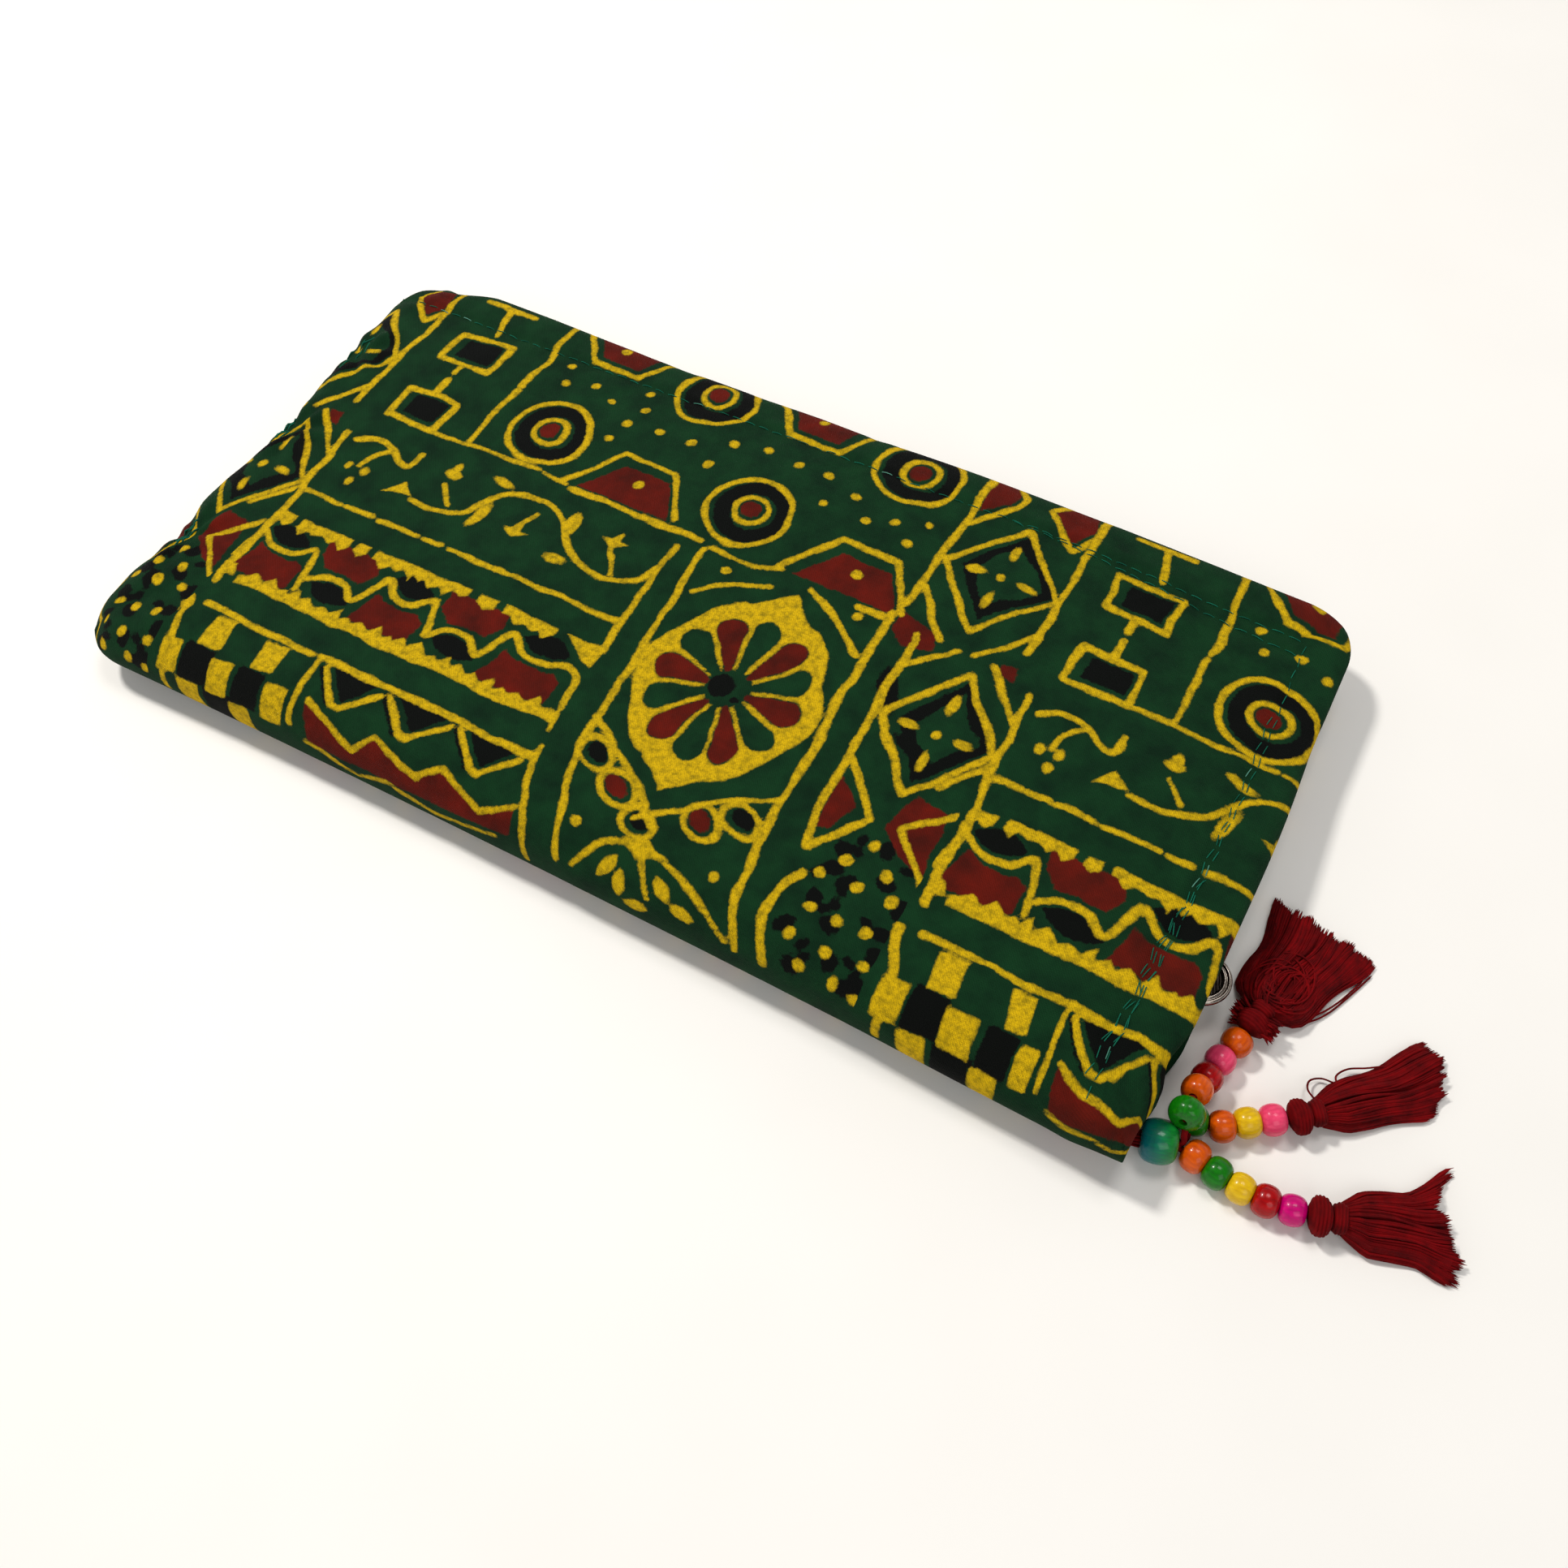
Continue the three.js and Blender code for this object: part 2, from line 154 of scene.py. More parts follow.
def ring_turns(sides):
    """The angles of the corners of a ring."""
    return np.arange(sides) * 2 * math.pi / sides


def line_length(points):
    return float(np.linalg.norm(np.diff(points, axis=0), axis=1).sum())


# ---- Meshes -----------------------------------------------------------------------------------
def grid_quads(rows, columns, wrap=False):
    """Quads of a grid of points stored row by row; wrap joins the last column to the first."""
    r, c = np.meshgrid(np.arange(rows - 1), np.arange(columns - (not wrap)), indexing="ij")
    row, after = r * columns, (c + 1) % columns
    corners = [row + c, row + after, row + columns + after, row + columns + c]
    return np.stack(corners, -1).reshape(-1, 4)


def new_piece(name, points, quads, material=None, flat=False):
    """A mesh from points in millimetres."""
    mesh = bpy.data.meshes.new(name)
    mesh.from_pydata((np.asarray(points).reshape(-1, 3) * MM).tolist(), [],
        np.asarray(quads).tolist())
    mesh.update()
    mesh.polygons.foreach_set("use_smooth", [not flat] * len(mesh.polygons))
    made = bpy.data.objects.new(name, mesh)
    bpy.context.scene.collection.objects.link(made)
    if material:
        mesh.materials.append(material)
    return made


def store(obj, name, values, kind="FLOAT"):
    attribute = obj.data.attributes.new(name, kind, "POINT")
    field = "value" if kind == "FLOAT" else "vector"
    attribute.data.foreach_set(field, np.asarray(values, np.float32).ravel())


def tubes(paths, radii, sides, up=UP, shape=None):
    """Points and quads of many tubes at once: paths (n, m, 3) and radii (n, m) in millimetres."""
    paths = np.asarray(paths, float)
    n, m, _ = paths.shape
    ahead = unit(np.gradient(paths, axis=1))
    side = unit(np.cross(ahead, np.broadcast_to(up, paths.shape)))
    over = np.cross(side, ahead)
    turn = ring_turns(sides)
    radii = np.broadcast_to(np.asarray(radii, float), (n, m))[:, :, None]
    if shape is not None:
        radii = radii * shape
    ring = side[:, :, None] * np.cos(turn)[:, None] + over[:, :, None] * np.sin(turn)[:, None]
    points = paths[:, :, None] + ring * np.broadcast_to(radii, (n, m, sides))[..., None]
    one = grid_quads(m, sides, wrap=True)
    quads = (one[None] + (np.arange(n) * m * sides)[:, None, None]).reshape(-1, 4)
    return points.reshape(-1, 3), quads


def ends_closed(count, blunt=0.15):
    """Radius factors along a tube that close its two ends."""
    t = np.linspace(0, 1, count)
    return np.clip(np.minimum(t, 1 - t) / blunt * 2, 0.02, 1) ** 0.5


def lathe(profile, sides):
    """Points and quads of a closed profile (radius, height) turned about Z."""
    profile = np.asarray(profile, float)
    turn = ring_turns(sides)
    points = np.stack([profile[:, :1] * np.cos(turn), profile[:, :1] * np.sin(turn),
        np.repeat(profile[:, 1:], sides, 1)], -1)
    return points.reshape(-1, 3), grid_quads(len(profile), sides, wrap=True)


def place(obj, where, axis):
    """Puts a piece made about Z at a point in millimetres, with its Z along axis."""
    turn = Vector((0, 0, 1)).rotation_difference(Vector(axis))
    obj.matrix_world = Matrix.Translation(Vector(where) * MM) @ turn.to_matrix().to_4x4()


def fit(piece, body, slot, *nodes):
    """Ties a piece to its body, in place of the CAD nodes that it stands for; slot is not used."""
    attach(piece, body)
    if nodes:
        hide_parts(*nodes)
    return piece


# ---- Materials --------------------------------------------------------------------------------
def colour(red, green, blue):
    """A colour as seen on a screen, 0 to 255, as the renderer's linear value."""
    return tuple(((c / 255 + 0.055) / 1.055) ** 2.4 if c > 10 else c / 255 / 12.92
        for c in (red, green, blue)) + (1.0,)


class Look:
    """A material and short ways to add nodes to it."""

    def __init__(self, name, **shader):
        self.material = bpy.data.materials.new(name)
        self.material.use_nodes = True
        self.tree = self.material.node_tree
        self.shader = self.tree.nodes["Principled BSDF"]
        self.paint(**shader)

    def set(self, target, **inputs):
        for key, value in inputs.items():
            name = key.replace("_", " ")
            socket = target.inputs[int(key[1:])] if key[1:].isdigit() else target.inputs[name]
            if isinstance(value, bpy.types.NodeSocket):
                self.tree.links.new(value, socket)
            else:
                socket.default_value = value

    def add(self, kind, settings=None, **inputs):
        made = self.tree.nodes.new(kind)
        for key, value in (settings or {}).items():
            setattr(made, key, value)
        self.set(made, **inputs)
        return made

    def paint(self, **inputs):
        self.set(self.shader, **inputs)

    def maths(self, operation, a, b=0.0):
        return self.add("ShaderNodeMath", {"operation": operation}, i0=a, i1=b).outputs[0]

    def plus(self, a, b):
        return self.maths("ADD", a, b)

    def times(self, a, b):
        return self.maths("MULTIPLY", a, b)

    def ripple(self, value, radians):
        """A sine wave that turns through so many radians for each unit of value."""
        return self.maths("SINE", self.times(value, radians))

    def mix(self, share, a, b, blend="MIX"):
        settings = {"data_type": "RGBA", "blend_type": blend}
        return self.add("ShaderNodeMix", settings, i0=share, i6=a, i7=b).outputs[2]

    def noise(self, vector, scale, detail):
        return self.add("ShaderNodeTexNoise", Vector=vector, Scale=scale, Detail=detail,
            Roughness=0.6).outputs[0]

    def ramp(self, value, low, high, to_low=0.0, to_high=1.0):
        return self.add("ShaderNodeMapRange", i0=value, i1=low, i2=high, i3=to_low,
            i4=to_high).outputs[0]

    def field(self, name, output="Vector"):
        return self.add("ShaderNodeAttribute", {"attribute_name": name}).outputs[output]

    def split(self, vector):
        """The three parts of a vector."""
        return self.add("ShaderNodeSeparateXYZ", i0=vector).outputs

    def stretched(self, vector, factors):
        settings = {"operation": "MULTIPLY"}
        return self.add("ShaderNodeVectorMath", settings, i0=vector, i1=factors).outputs[0]

    def bump(self, height, depth_mm, strength):
        made = self.add("ShaderNodeBump", Strength=strength, Distance=depth_mm * MM, Height=height)
        self.paint(Normal=made.outputs[0])

    def here(self):
        """The piece's own coordinates, in millimetres."""
        out = self.add("ShaderNodeTexCoord").outputs["Object"]
        return self.add("ShaderNodeVectorMath", {"operation": "SCALE"}, i0=out,
            Scale=1 / MM).outputs[0]


GREEN = colour(11, 51, 24)
GREEN_DARK = colour(4, 34, 16)
BLACK = colour(2, 4, 2)
YELLOW = colour(214, 174, 8)
YELLOW_DIM = colour(170, 138, 6)
YELLOW_STAIN = colour(122, 104, 10)
MAROON = colour(100, 18, 5)
MAROON_DARK = colour(66, 14, 5)
WEAVE_PITCH = 0.42


def weave_height(look, vector, pitch):
    """Diagonal twill ribs crossed by finer threads."""
    x, y, _ = look.split(vector)
    turns = 2 * math.pi / pitch
    rib = look.ripple(look.plus(x, look.times(y, 0.8)), turns)
    cross = look.ripple(look.maths("SUBTRACT", x, y), turns * 1.7)
    return look.plus(rib, look.times(cross, 0.6))


def print_cloth():
    look = Look("print_cotton", Roughness=0.85, Specular_IOR_Level=0.1)
    cloth = look.field("cloth")
    ink = look.split(look.field("ink"))
    ragged = look.times(look.maths("SUBTRACT", look.noise(cloth, 1.3, 4), 0.5), 0.75)
    blotch = look.noise(cloth, 0.16, 3)
    fine = look.noise(cloth, 2.6, 2)

    def mask(output, spread, edge):
        distance = look.plus(ink[output], look.times(ragged, spread))
        return look.ramp(distance, edge, -edge)

    base = look.mix(look.ramp(blotch, 0.35, 0.7), GREEN, GREEN_DARK)
    base = look.mix(mask(2, 1.5, 0.14), base, BLACK)
    red = look.mix(look.ramp(blotch, 0.3, 0.7), MAROON, MAROON_DARK)
    base = look.mix(mask(1, 1.4, 0.16), base, red)
    gold = look.mix(look.ramp(fine, 0.42, 0.75), YELLOW, YELLOW_DIM)
    gold = look.mix(look.ramp(look.noise(cloth, 0.8, 4), 0.44, 0.7, 0.0, 0.8), gold, YELLOW_STAIN)
    gold = look.mix(look.ramp(ink[0], -0.42, 0.1, 0.0, 0.6), gold, YELLOW_STAIN)
    base = look.mix(mask(0, 0.9, 0.15), base, gold)
    height = weave_height(look, cloth, WEAVE_PITCH)
    shade = look.ramp(look.plus(height, look.times(fine, 1.2)), -1.4, 2.2, 0.82, 1.1)
    look.paint(Base_Color=look.mix(1.0, base, shade, "MULTIPLY"))
    look.bump(height, 0.035, 0.8)
    return look.material


def plain_cloth(name, light, dark, pitch=0.5):
    look = Look(name, Roughness=0.9, Specular_IOR_Level=0.12)
    where = look.here()
    blotch = look.noise(where, 0.25, 4)
    height = weave_height(look, where, pitch)
    base = look.mix(look.ramp(blotch, 0.3, 0.7), light, dark)
    base = look.mix(look.ramp(height, -1.2, 1.6, 0.0, 0.35), base, dark)
    look.paint(Base_Color=base)
    look.bump(height, 0.04, 0.8)
    return look.material


def thread_look(name, light, dark):
    """Twisted thread: the tone of each one, darker patches and fine twist ridges."""
    look = Look(name, Roughness=0.85, Specular_IOR_Level=0.1)
    where = look.here()
    patches = look.noise(where, 0.35, 4)
    tone = look.field("tone", "Fac")
    share = look.plus(look.ramp(patches, 0.35, 0.75, 0.0, 0.7), look.times(tone, 0.45))
    base = look.mix(look.ramp(share, 0.0, 1.0), light, dark)
    look.paint(Base_Color=base)
    look.bump(look.noise(where, 4.8, 3), 0.08, 0.7)
    return look.material


def bead_look(name, light, dark, end=None):
    """Dyed wood under clear lacquer, with grain and pores; end is a second dye, from one side."""
    look = Look(name, Roughness=0.34, Specular_IOR_Level=0.15, Coat_Weight=0.24,
        Coat_Roughness=0.04)
    where = look.here()
    lengthwise = look.stretched(where, (1.0, 1.0, 0.22))
    grain, pores = look.noise(lengthwise, 2.2, 4), look.noise(lengthwise, 7.0, 2)
    base = look.mix(look.ramp(grain, 0.35, 0.75), light, dark)
    if end:
        x, _, z = look.split(where)
        along = look.maths("SUBTRACT", look.times(z, 1.3), look.times(x, 0.3))
        base = look.mix(look.ramp(along, -2.4, 2.6), end, base)
    base = look.mix(look.ramp(pores, 0.68, 0.8, 0.0, 0.5), base, dark)
    look.paint(Base_Color=base, Roughness=look.ramp(grain, 0.3, 0.8, 0.2, 0.36))
    look.bump(look.plus(grain, look.times(look.noise(where, 0.7, 2), 2.0)), 0.05, 0.5)
    return look.material


def nickel_look(name="nickel", ribs=None):
    """Bright plate with fine scratches, dull spots, and ribs where asked for, with painted shade in
    their grooves.
    """
    look = Look(name, Metallic=1.0, Roughness=0.16)
    where = look.here()
    smear = look.noise(where, 0.9, 4)
    lines = look.noise(look.stretched(where, (9.0, 0.7, 3.0)), 1.5, 2)
    base = look.mix(look.ramp(smear, 0.35, 0.8), colour(160, 150, 140), colour(82, 72, 62))
    look.paint(Base_Color=base, Roughness=look.ramp(smear, 0.3, 0.8, 0.1, 0.27))
    height = look.times(lines, 0.06)
    if ribs:
        across_x, across_y, pitch = ribs
        x, y, _ = look.split(where)
        across = look.plus(look.times(x, across_x), look.times(y, across_y))
        wave = look.ripple(across, 2 * math.pi / pitch)
        height = look.plus(height, wave)
        # The grooves between the ribs are painted dark brown: painted shade.
        groove = look.ramp(wave, -0.9, 0.2, 0.9, 0.0)
        look.paint(Base_Color=look.mix(groove, base, colour(40, 28, 24)))
    look.bump(height, 0.12 if ribs else 0.06, 0.9)
    return look.material


def nylon_look():
    look = Look("zip_coil", Roughness=0.42)
    where = look.here()
    tint = look.noise(where, 1.4, 3)
    look.paint(Base_Color=look.mix(tint, colour(22, 76, 52), colour(12, 46, 32)))
    look.bump(look.noise(where, 6.0, 2), 0.03, 0.5)
    return look.material


LOOKS = {
    "print_cotton": print_cloth(),
    "lining_cotton": plain_cloth("lining_cotton", colour(96, 20, 14), colour(66, 12, 9)),
    "zip_tape": plain_cloth("zip_tape", colour(20, 66, 42), colour(10, 40, 26), 0.6),
    "zip_coil": nylon_look(),
    "nickel": nickel_look(),
    "nickel_ribbed": nickel_look("nickel_ribbed", ribs=(0.94, 0.34, 0.42)),
    "maroon_thread": thread_look("maroon_thread", colour(124, 1, 5), colour(58, 0, 2)),
    "teal_thread": thread_look("teal_thread", colour(20, 104, 80), colour(8, 62, 46)),
    "pale_thread": thread_look("pale_thread", colour(96, 150, 130), colour(50, 104, 86)),
    "bead_teal": bead_look("bead_teal", colour(20, 124, 44), colour(6, 82, 34),
                           end=colour(0, 92, 100)),
}
BEAD_TINTS = {
    "green": [(18, 116, 10), (6, 78, 6)],
    "orange": [(212, 86, 2), (170, 58, 2)],
    "red": [(172, 0, 4), (118, 0, 4)],
    "pink": [(236, 74, 112), (206, 46, 86)],
    "yellow": [(228, 186, 18), (190, 146, 10)],
    "magenta": [(206, 0, 112), (156, 0, 84)],
}
for tint, (light, dark) in BEAD_TINTS.items():
    LOOKS[f"bead_{tint}"] = bead_look(f"bead_{tint}", colour(*light), colour(*dark))


def thread_piece(name, points, quads, tone, look="maroon_thread"):
    """A piece made of threads, with each one's tone."""
    piece = new_piece(name, points, quads, LOOKS[look])
    store(piece, "tone", tone)
    return piece


# ---- Cords, and the beads on them -------------------------------------------------------------
SEAM_EXIT = (94.6, -47.8, 5.6)
BUNDLE_ROUTE = [SEAM_EXIT, (96.8, -47.1, 5.2)]
BUNDLE_ROOT = (93.2, -48.4, 6.3)
BUNDLE_THREADS, BUNDLE_STEPS = 30, 16
BUNDLE_AXIS = unit(np.array([0.951, 0.309, 0.0]))
BIG_BEAD_AT = middle_mm("big_bead")
BIG_BEAD_RADIUS = 3.25
CORD_DIAMETER = 0.9
CORD_SPREAD = 0.52
CORD_TWIST = 1.3
BEAD_RADIUS = 2.3
BEAD_LENGTH = 3.35
BEAD_HOLE = 0.62
FIRST_LARGER = {"a": 0.13, "c": 0.08}
BIG_BEAD_LENGTH = 5.2
BIG_BEAD_HOLE = 1.35
STRANDS = {
    "a": {"enters": (105.6, -43.9, 4.2), "length": 0.036, "around": 0.3,
          "colours": ["green", "orange", "red", "pink", "orange"]},
    "b": {"enters": (105.8, -42.6, 2.4), "length": 0.031, "around": 2.4,
          "colours": ["green", "orange", "yellow", "pink"]},
    "c": {"enters": (105.9, -44.5, 2.6), "length": 0.033, "around": 4.5,
          "colours": ["orange", "green", "yellow", "red", "magenta"]},
}


def bead_centres(name):
    return [middle_mm(f"bead_{name}{i + 1}") for i in range(len(STRANDS[name]["colours"]))]


def bead_mesh(name, radius, length, hole, look):
    """A rounded barrel with a hole through it, about Z."""
    turn = np.linspace(-math.pi / 2, math.pi / 2, 21)
    out = hole + (radius - hole) * np.clip(np.cos(turn), 0, 1) ** 0.72
    high = length / 2 * np.sign(turn) * np.abs(np.sin(turn)) ** 0.95
    outer = np.stack([out, high], 1)
    inner = np.stack([np.full(4, hole), np.linspace(length / 2, -length / 2, 6)[1:-1]], 1)
    profile = np.vstack([outer, inner, outer[:1]])
    points, quads = lathe(profile, 40)
    return new_piece(name, points, quads, LOOKS[look])


def add_beads():
    """The large bead, and each strand's own beads, which come back by strand."""
    big = bead_mesh("bead_large", BIG_BEAD_RADIUS, BIG_BEAD_LENGTH, BIG_BEAD_HOLE, "bead_teal")
    x, y, z = BIG_BEAD_AT
    place(big, (x, y, max(z, BIG_BEAD_RADIUS)), BUNDLE_AXIS)
    fit(big, "big_bead", "bead_teal", "big_bead")
    made = {name: [] for name in STRANDS}
    for name, strand in STRANDS.items():
        centres = bead_centres(name)
        route = [np.array(strand["enters"]), *centres, middle_mm(f"tassel_head_{name}")]
        for i, tint in enumerate(strand["colours"]):
            ahead = centres[1] - centres[0] if i == 0 else route[i + 2] - route[i]
            uneven = 1 + 0.03 * math.sin(3.1 * i + ord(name)) + FIRST_LARGER.get(name, 0) * (i == 0)
            bead = bead_mesh(f"wood_bead_{name}{i + 1}", BEAD_RADIUS * uneven, BEAD_LENGTH * 1.1,
                BEAD_HOLE, f"bead_{tint}")
            place(bead, centres[i], ahead)
            body = "charm" if i == 0 else f"strand_{name}"
            made[name].append(fit(bead, body, f"bead_{tint}", f"bead_{name}{i + 1}"))
    return made


def cord_route(name):
    """From the corner seam through the large bead and the strand's beads into its wrapped head."""
    strand = STRANDS[name]
    side = np.cross(UP, BUNDLE_AXIS)
    offset = CORD_SPREAD * (math.cos(strand["around"]) * side + math.sin(strand["around"]) * UP)
    route = [np.array(p) + 0.8 * offset for p in BUNDLE_ROUTE]
    route += [BIG_BEAD_AT + t * BUNDLE_AXIS + offset for t in (-3.4, -1.5, 0.4, 2.3)]
    route += [np.array(strand["enters"]), *bead_centres(name)]
    return curve(route + [middle_mm(f"tassel_head_{name}")], 120)


def cord_mesh(name, path):
    """A cord of three plies laid round each other."""
    sides = 12
    along = np.linspace(0, line_length(path), len(path))
    turn = ring_turns(sides)
    plies = 1 + 0.12 * np.cos(3 * turn[None] - 2 * math.pi * along[:, None] / CORD_TWIST)
    radius = CORD_DIAMETER / 2 * ends_closed(len(path), 0.02)
    points, quads = tubes(path[None], radius[None], sides, shape=plies[None])
    return thread_piece(name, points, quads, np.tile(0.5 + 0.5 * np.cos(3 * turn), len(path)))


def add_cords():
    cords = {}
    for name in STRANDS:
        path = cord_route(name)
        piece = cord_mesh(f"charm_cord_{name}", path)
        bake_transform(piece)
        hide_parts(f"strand_cord_{name}")
        cords[name] = (piece, path)
    return cords


def add_bundle():
    """The sewn root of the charm: threads from the corner seam into the large bead."""
    rng = np.random.default_rng(5)
    root = np.array(BUNDLE_ROOT)
    inside = [BIG_BEAD_AT - t * BUNDLE_AXIS for t in (3.2, 1.0)]
    centre = curve([root, *BUNDLE_ROUTE, *inside], BUNDLE_STEPS)
    ahead = unit(np.gradient(centre, axis=0))
    side = unit(np.cross(ahead, UP))
    over = np.cross(side, ahead)
    reach = 1.12 * np.sqrt(rng.random(BUNDLE_THREADS))
    turn = rng.random(BUNDLE_THREADS) * 2 * math.pi
    wander = np.linspace(0, 1.2, BUNDLE_STEPS)[None] + turn[:, None]
    wide = np.interp(np.linspace(0, 1, BUNDLE_STEPS), [0, 0.3, 0.7, 1], [1.25, 1.1, 1.05, 1.0])
    paths = centre[None] + (reach[:, None] * wide * np.cos(wander))[..., None] * side[None] \
        + (reach[:, None] * wide * np.sin(wander))[..., None] * over[None]
    points, quads = tubes(paths, 0.2 * ends_closed(BUNDLE_STEPS)[None], 6)
    tone = np.repeat(rng.random(BUNDLE_THREADS), BUNDLE_STEPS * 6)
    piece = thread_piece("corner_sheaf", points, quads, tone)
    fit(piece, "charm", "maroon_thread", "corner_thread")


# ---- Tassels ----------------------------------------------------------------------------------
SKIRT_START = 2.0
THREAD_RADIUS = 0.17
TUFT_RADIUS = 0.19
LOOSE_RADIUS = 0.15
SWIRL_AT = (6.8, -0.6)
KNOB = {"length": 3.4, "centre": -0.75, "wraps": 7, "seed": 21}
NECK = {"length": 2.6, "centre": 1.75, "wraps": 5, "seed": 22}
TASSELS = {
    "a": {"turn": 78, "rise": 4.6, "threads": 520, "swirl": 48, "tufts": 130,
          "neck": 1.9, "knob": 2.6,
          "half": [[2.0, 2.4], [3.0, 4.4], [4.6, 5.6], [8, 6.1], [14, 6.8], [21.5, 8.1]],
          "ends": [20.6, 20.8, 20.8, 20.8, 20.8]},
    "b": {"turn": 46, "rise": 4.2, "threads": 360, "swirl": 0, "tufts": 0,
          "neck": 2.1, "knob": 2.6,
          "half": [[2.0, 2.0], [3.4, 2.4], [5.5, 3.5], [9, 4.1], [15, 4.4], [23, 5.2]],
          "ends": [17.5, 21.0, 23.2, 23.6, 22.4]},
    "c": {"turn": 24, "rise": 4.2, "threads": 420, "swirl": 0, "tufts": 0,
          "neck": 2.3, "knob": 2.8,
          "half": [[2.0, 2.1], [3.2, 2.8], [5.5, 4.4], [9.5, 5.0], [12, 5.3], [15, 6.8], [18, 8.6]],
          "ends": [15.6, 18.0, 17.6, 16.0, 18.8]},
}


def skirt_frame(name):
    turn = math.radians(TASSELS[name]["turn"])
    along = np.array([math.cos(turn), math.sin(turn), 0.0])
    return along, np.cross(UP, along)


def skirt_half(name, t):
    rows = np.array(TASSELS[name]["half"], float)
    return np.interp(t, rows[:, 0], rows[:, 1])


def skirt_height(name, t, side, layer):
    """The height of a thread above the table: gathered at the neck, then settling."""
    rise = TASSELS[name]["rise"]
    thick = np.interp(t, [2, 4, 7, 14, 22], [2.9, rise, rise * 0.9, rise * 0.62, rise * 0.4])
    edge = np.sqrt(np.clip(1 - side ** 2, 0.03, 1))
    low = np.interp(t, [2, 4.5, 8], [1.5, 0.45, 0.22])
    if TASSELS[name]["swirl"]:
        away = (t - SWIRL_AT[0]) ** 2 + (side * skirt_half(name, t) - SWIRL_AT[1]) ** 2
        thick = thick - 2.0 * np.exp(-away / 1.9 ** 2)
    return low + layer * np.maximum(thick * edge - 0.3, 0.12)


def skirt_end(name, side):
    """Where the threads are cut, from one side of the skirt to the other."""
    return np.interp(side, np.linspace(-1, 1, 5), TASSELS[name]["ends"])


def skirt_swing(t, side):
    return 0.5 * np.sin(t * 0.32 + side) * smooth(4, 16, t)


def skirt_points(name, t, lateral, high):
    """Points so far along a skirt, across it and above the table."""
    along, across = skirt_frame(name)
    head = middle_mm(f"tassel_head_{name}") * [1, 1, 0]
    points = head + t[..., None] * along + lateral[..., None] * across
    points[..., 2] = high
    return points


def thread_paths(name, rng, count, steps=16):
    side = rng.uniform(-1, 1, count)
    side = np.sign(side) * np.abs(side) ** 0.85
    layer = rng.random(count) ** 0.6
    end = skirt_end(name, side)
    end = end + noise(side * 9, layer, 1.0, 3) * 0.8 - np.abs(rng.normal(0, 0.5, count))
    t = SKIRT_START + (end - SKIRT_START)[:, None] * np.linspace(0, 1, steps)[None]
    side, layer = side[:, None], layer[:, None]
    wave = 0.05 * noise(side * 5 + t * 0.13, layer * 4, 1.0, 7)
    curl = 0.10 * noise(side * 4, t * 0.12 + layer, 1.0, 11) * smooth(6, 20, t)
    spot = np.clip(side + wave + curl, -1.08, 1.08)
    high = skirt_height(name, t, side, layer)
    high = high + 0.35 * noise(side * 6, t * 0.25, 1.0, 13) * smooth(3, 8, t) * layer
    lateral = spot * skirt_half(name, t) + skirt_swing(t, side)
    return skirt_points(name, t, lateral, np.maximum(high, 0.2))


def skirt_core(name):
    """The inner mass of threads, so that no light shows between the outer ones."""
    sides, rows = np.linspace(-0.93, 0.93, 25), 22
    t = SKIRT_START + (skirt_end(name, sides) - 1.4 - SKIRT_START)[None] * np.linspace(0, 1,
        rows)[:, None]
    lateral = sides[None] * skirt_half(name, t) + skirt_swing(t, sides[None])
    top, low = [skirt_points(name, t, lateral, np.maximum(skirt_height(name, t, sides[None], layer),
        0.12)) for layer in (0.78, 0.02)]
    ring = np.concatenate([top, low[:, ::-1]], 1)
    return ring.reshape(-1, 3), grid_quads(rows, 2 * len(sides), wrap=True)


def join_parts(parts):
    """One point list and one quad list from several, with a tone for each part."""
    points, quads, tones, count = [], [], [], 0
    for p, q, tone in parts:
        points.append(p)
        quads.append(q + count)
        tones.append(np.broadcast_to(tone, (len(p),)))
        count += len(p)
    return np.vstack(points), np.vstack(quads), np.concatenate(tones)


def swirl_paths(name, rng, count, steps=16):
    """Threads that curl unevenly round the hollow at the root of a skirt."""
    share = np.linspace(0, 1, steps)
    start, sweep = rng.uniform(0, 2 * math.pi, count), rng.uniform(0.6, 2.0, count)
    radius = rng.uniform(1.5, 4.8, count)[:, None] * (1 + rng.normal(0, 0.5, (count, 1))
        * (share - 0.5))
    turn = start[:, None] + sweep[:, None] * share
    t = SWIRL_AT[0] + rng.normal(0, 0.8, (count, 1)) + radius * np.cos(turn)
    lateral = SWIRL_AT[1] + rng.normal(0, 0.8, (count, 1)) + radius * 0.85 * np.sin(turn)
    side = np.clip(lateral / skirt_half(name, t), -0.96, 0.96)
    high = skirt_height(name, t, side, 1.0) + rng.uniform(-0.1, 0.25, (count, 1))
    return skirt_points(name, t, side * skirt_half(name, t), high)


def add_skirt(name, rng):
    facts = TASSELS[name]
    paths = thread_paths(name, rng, facts["threads"])
    if facts["swirl"]:
        paths = np.concatenate([paths, swirl_paths(name, rng, facts["swirl"])])
    steps = paths.shape[1]
    threads = tubes(paths, THREAD_RADIUS * ends_closed(steps, 0.06)[None], 5)
    tones = np.repeat(rng.random(len(paths)), steps * 5)
    # The inner core takes a tone of 0.9, darker than most threads, as painted shade deep in the
    # skirt.
    parts = join_parts([(*threads, tones), (*skirt_core(name), 0.9)])
    piece = thread_piece(f"tassel_threads_{name}", *parts)
    return fit(piece, f"tassel_{name}", "maroon_thread", f"tassel_skirt_{name}")


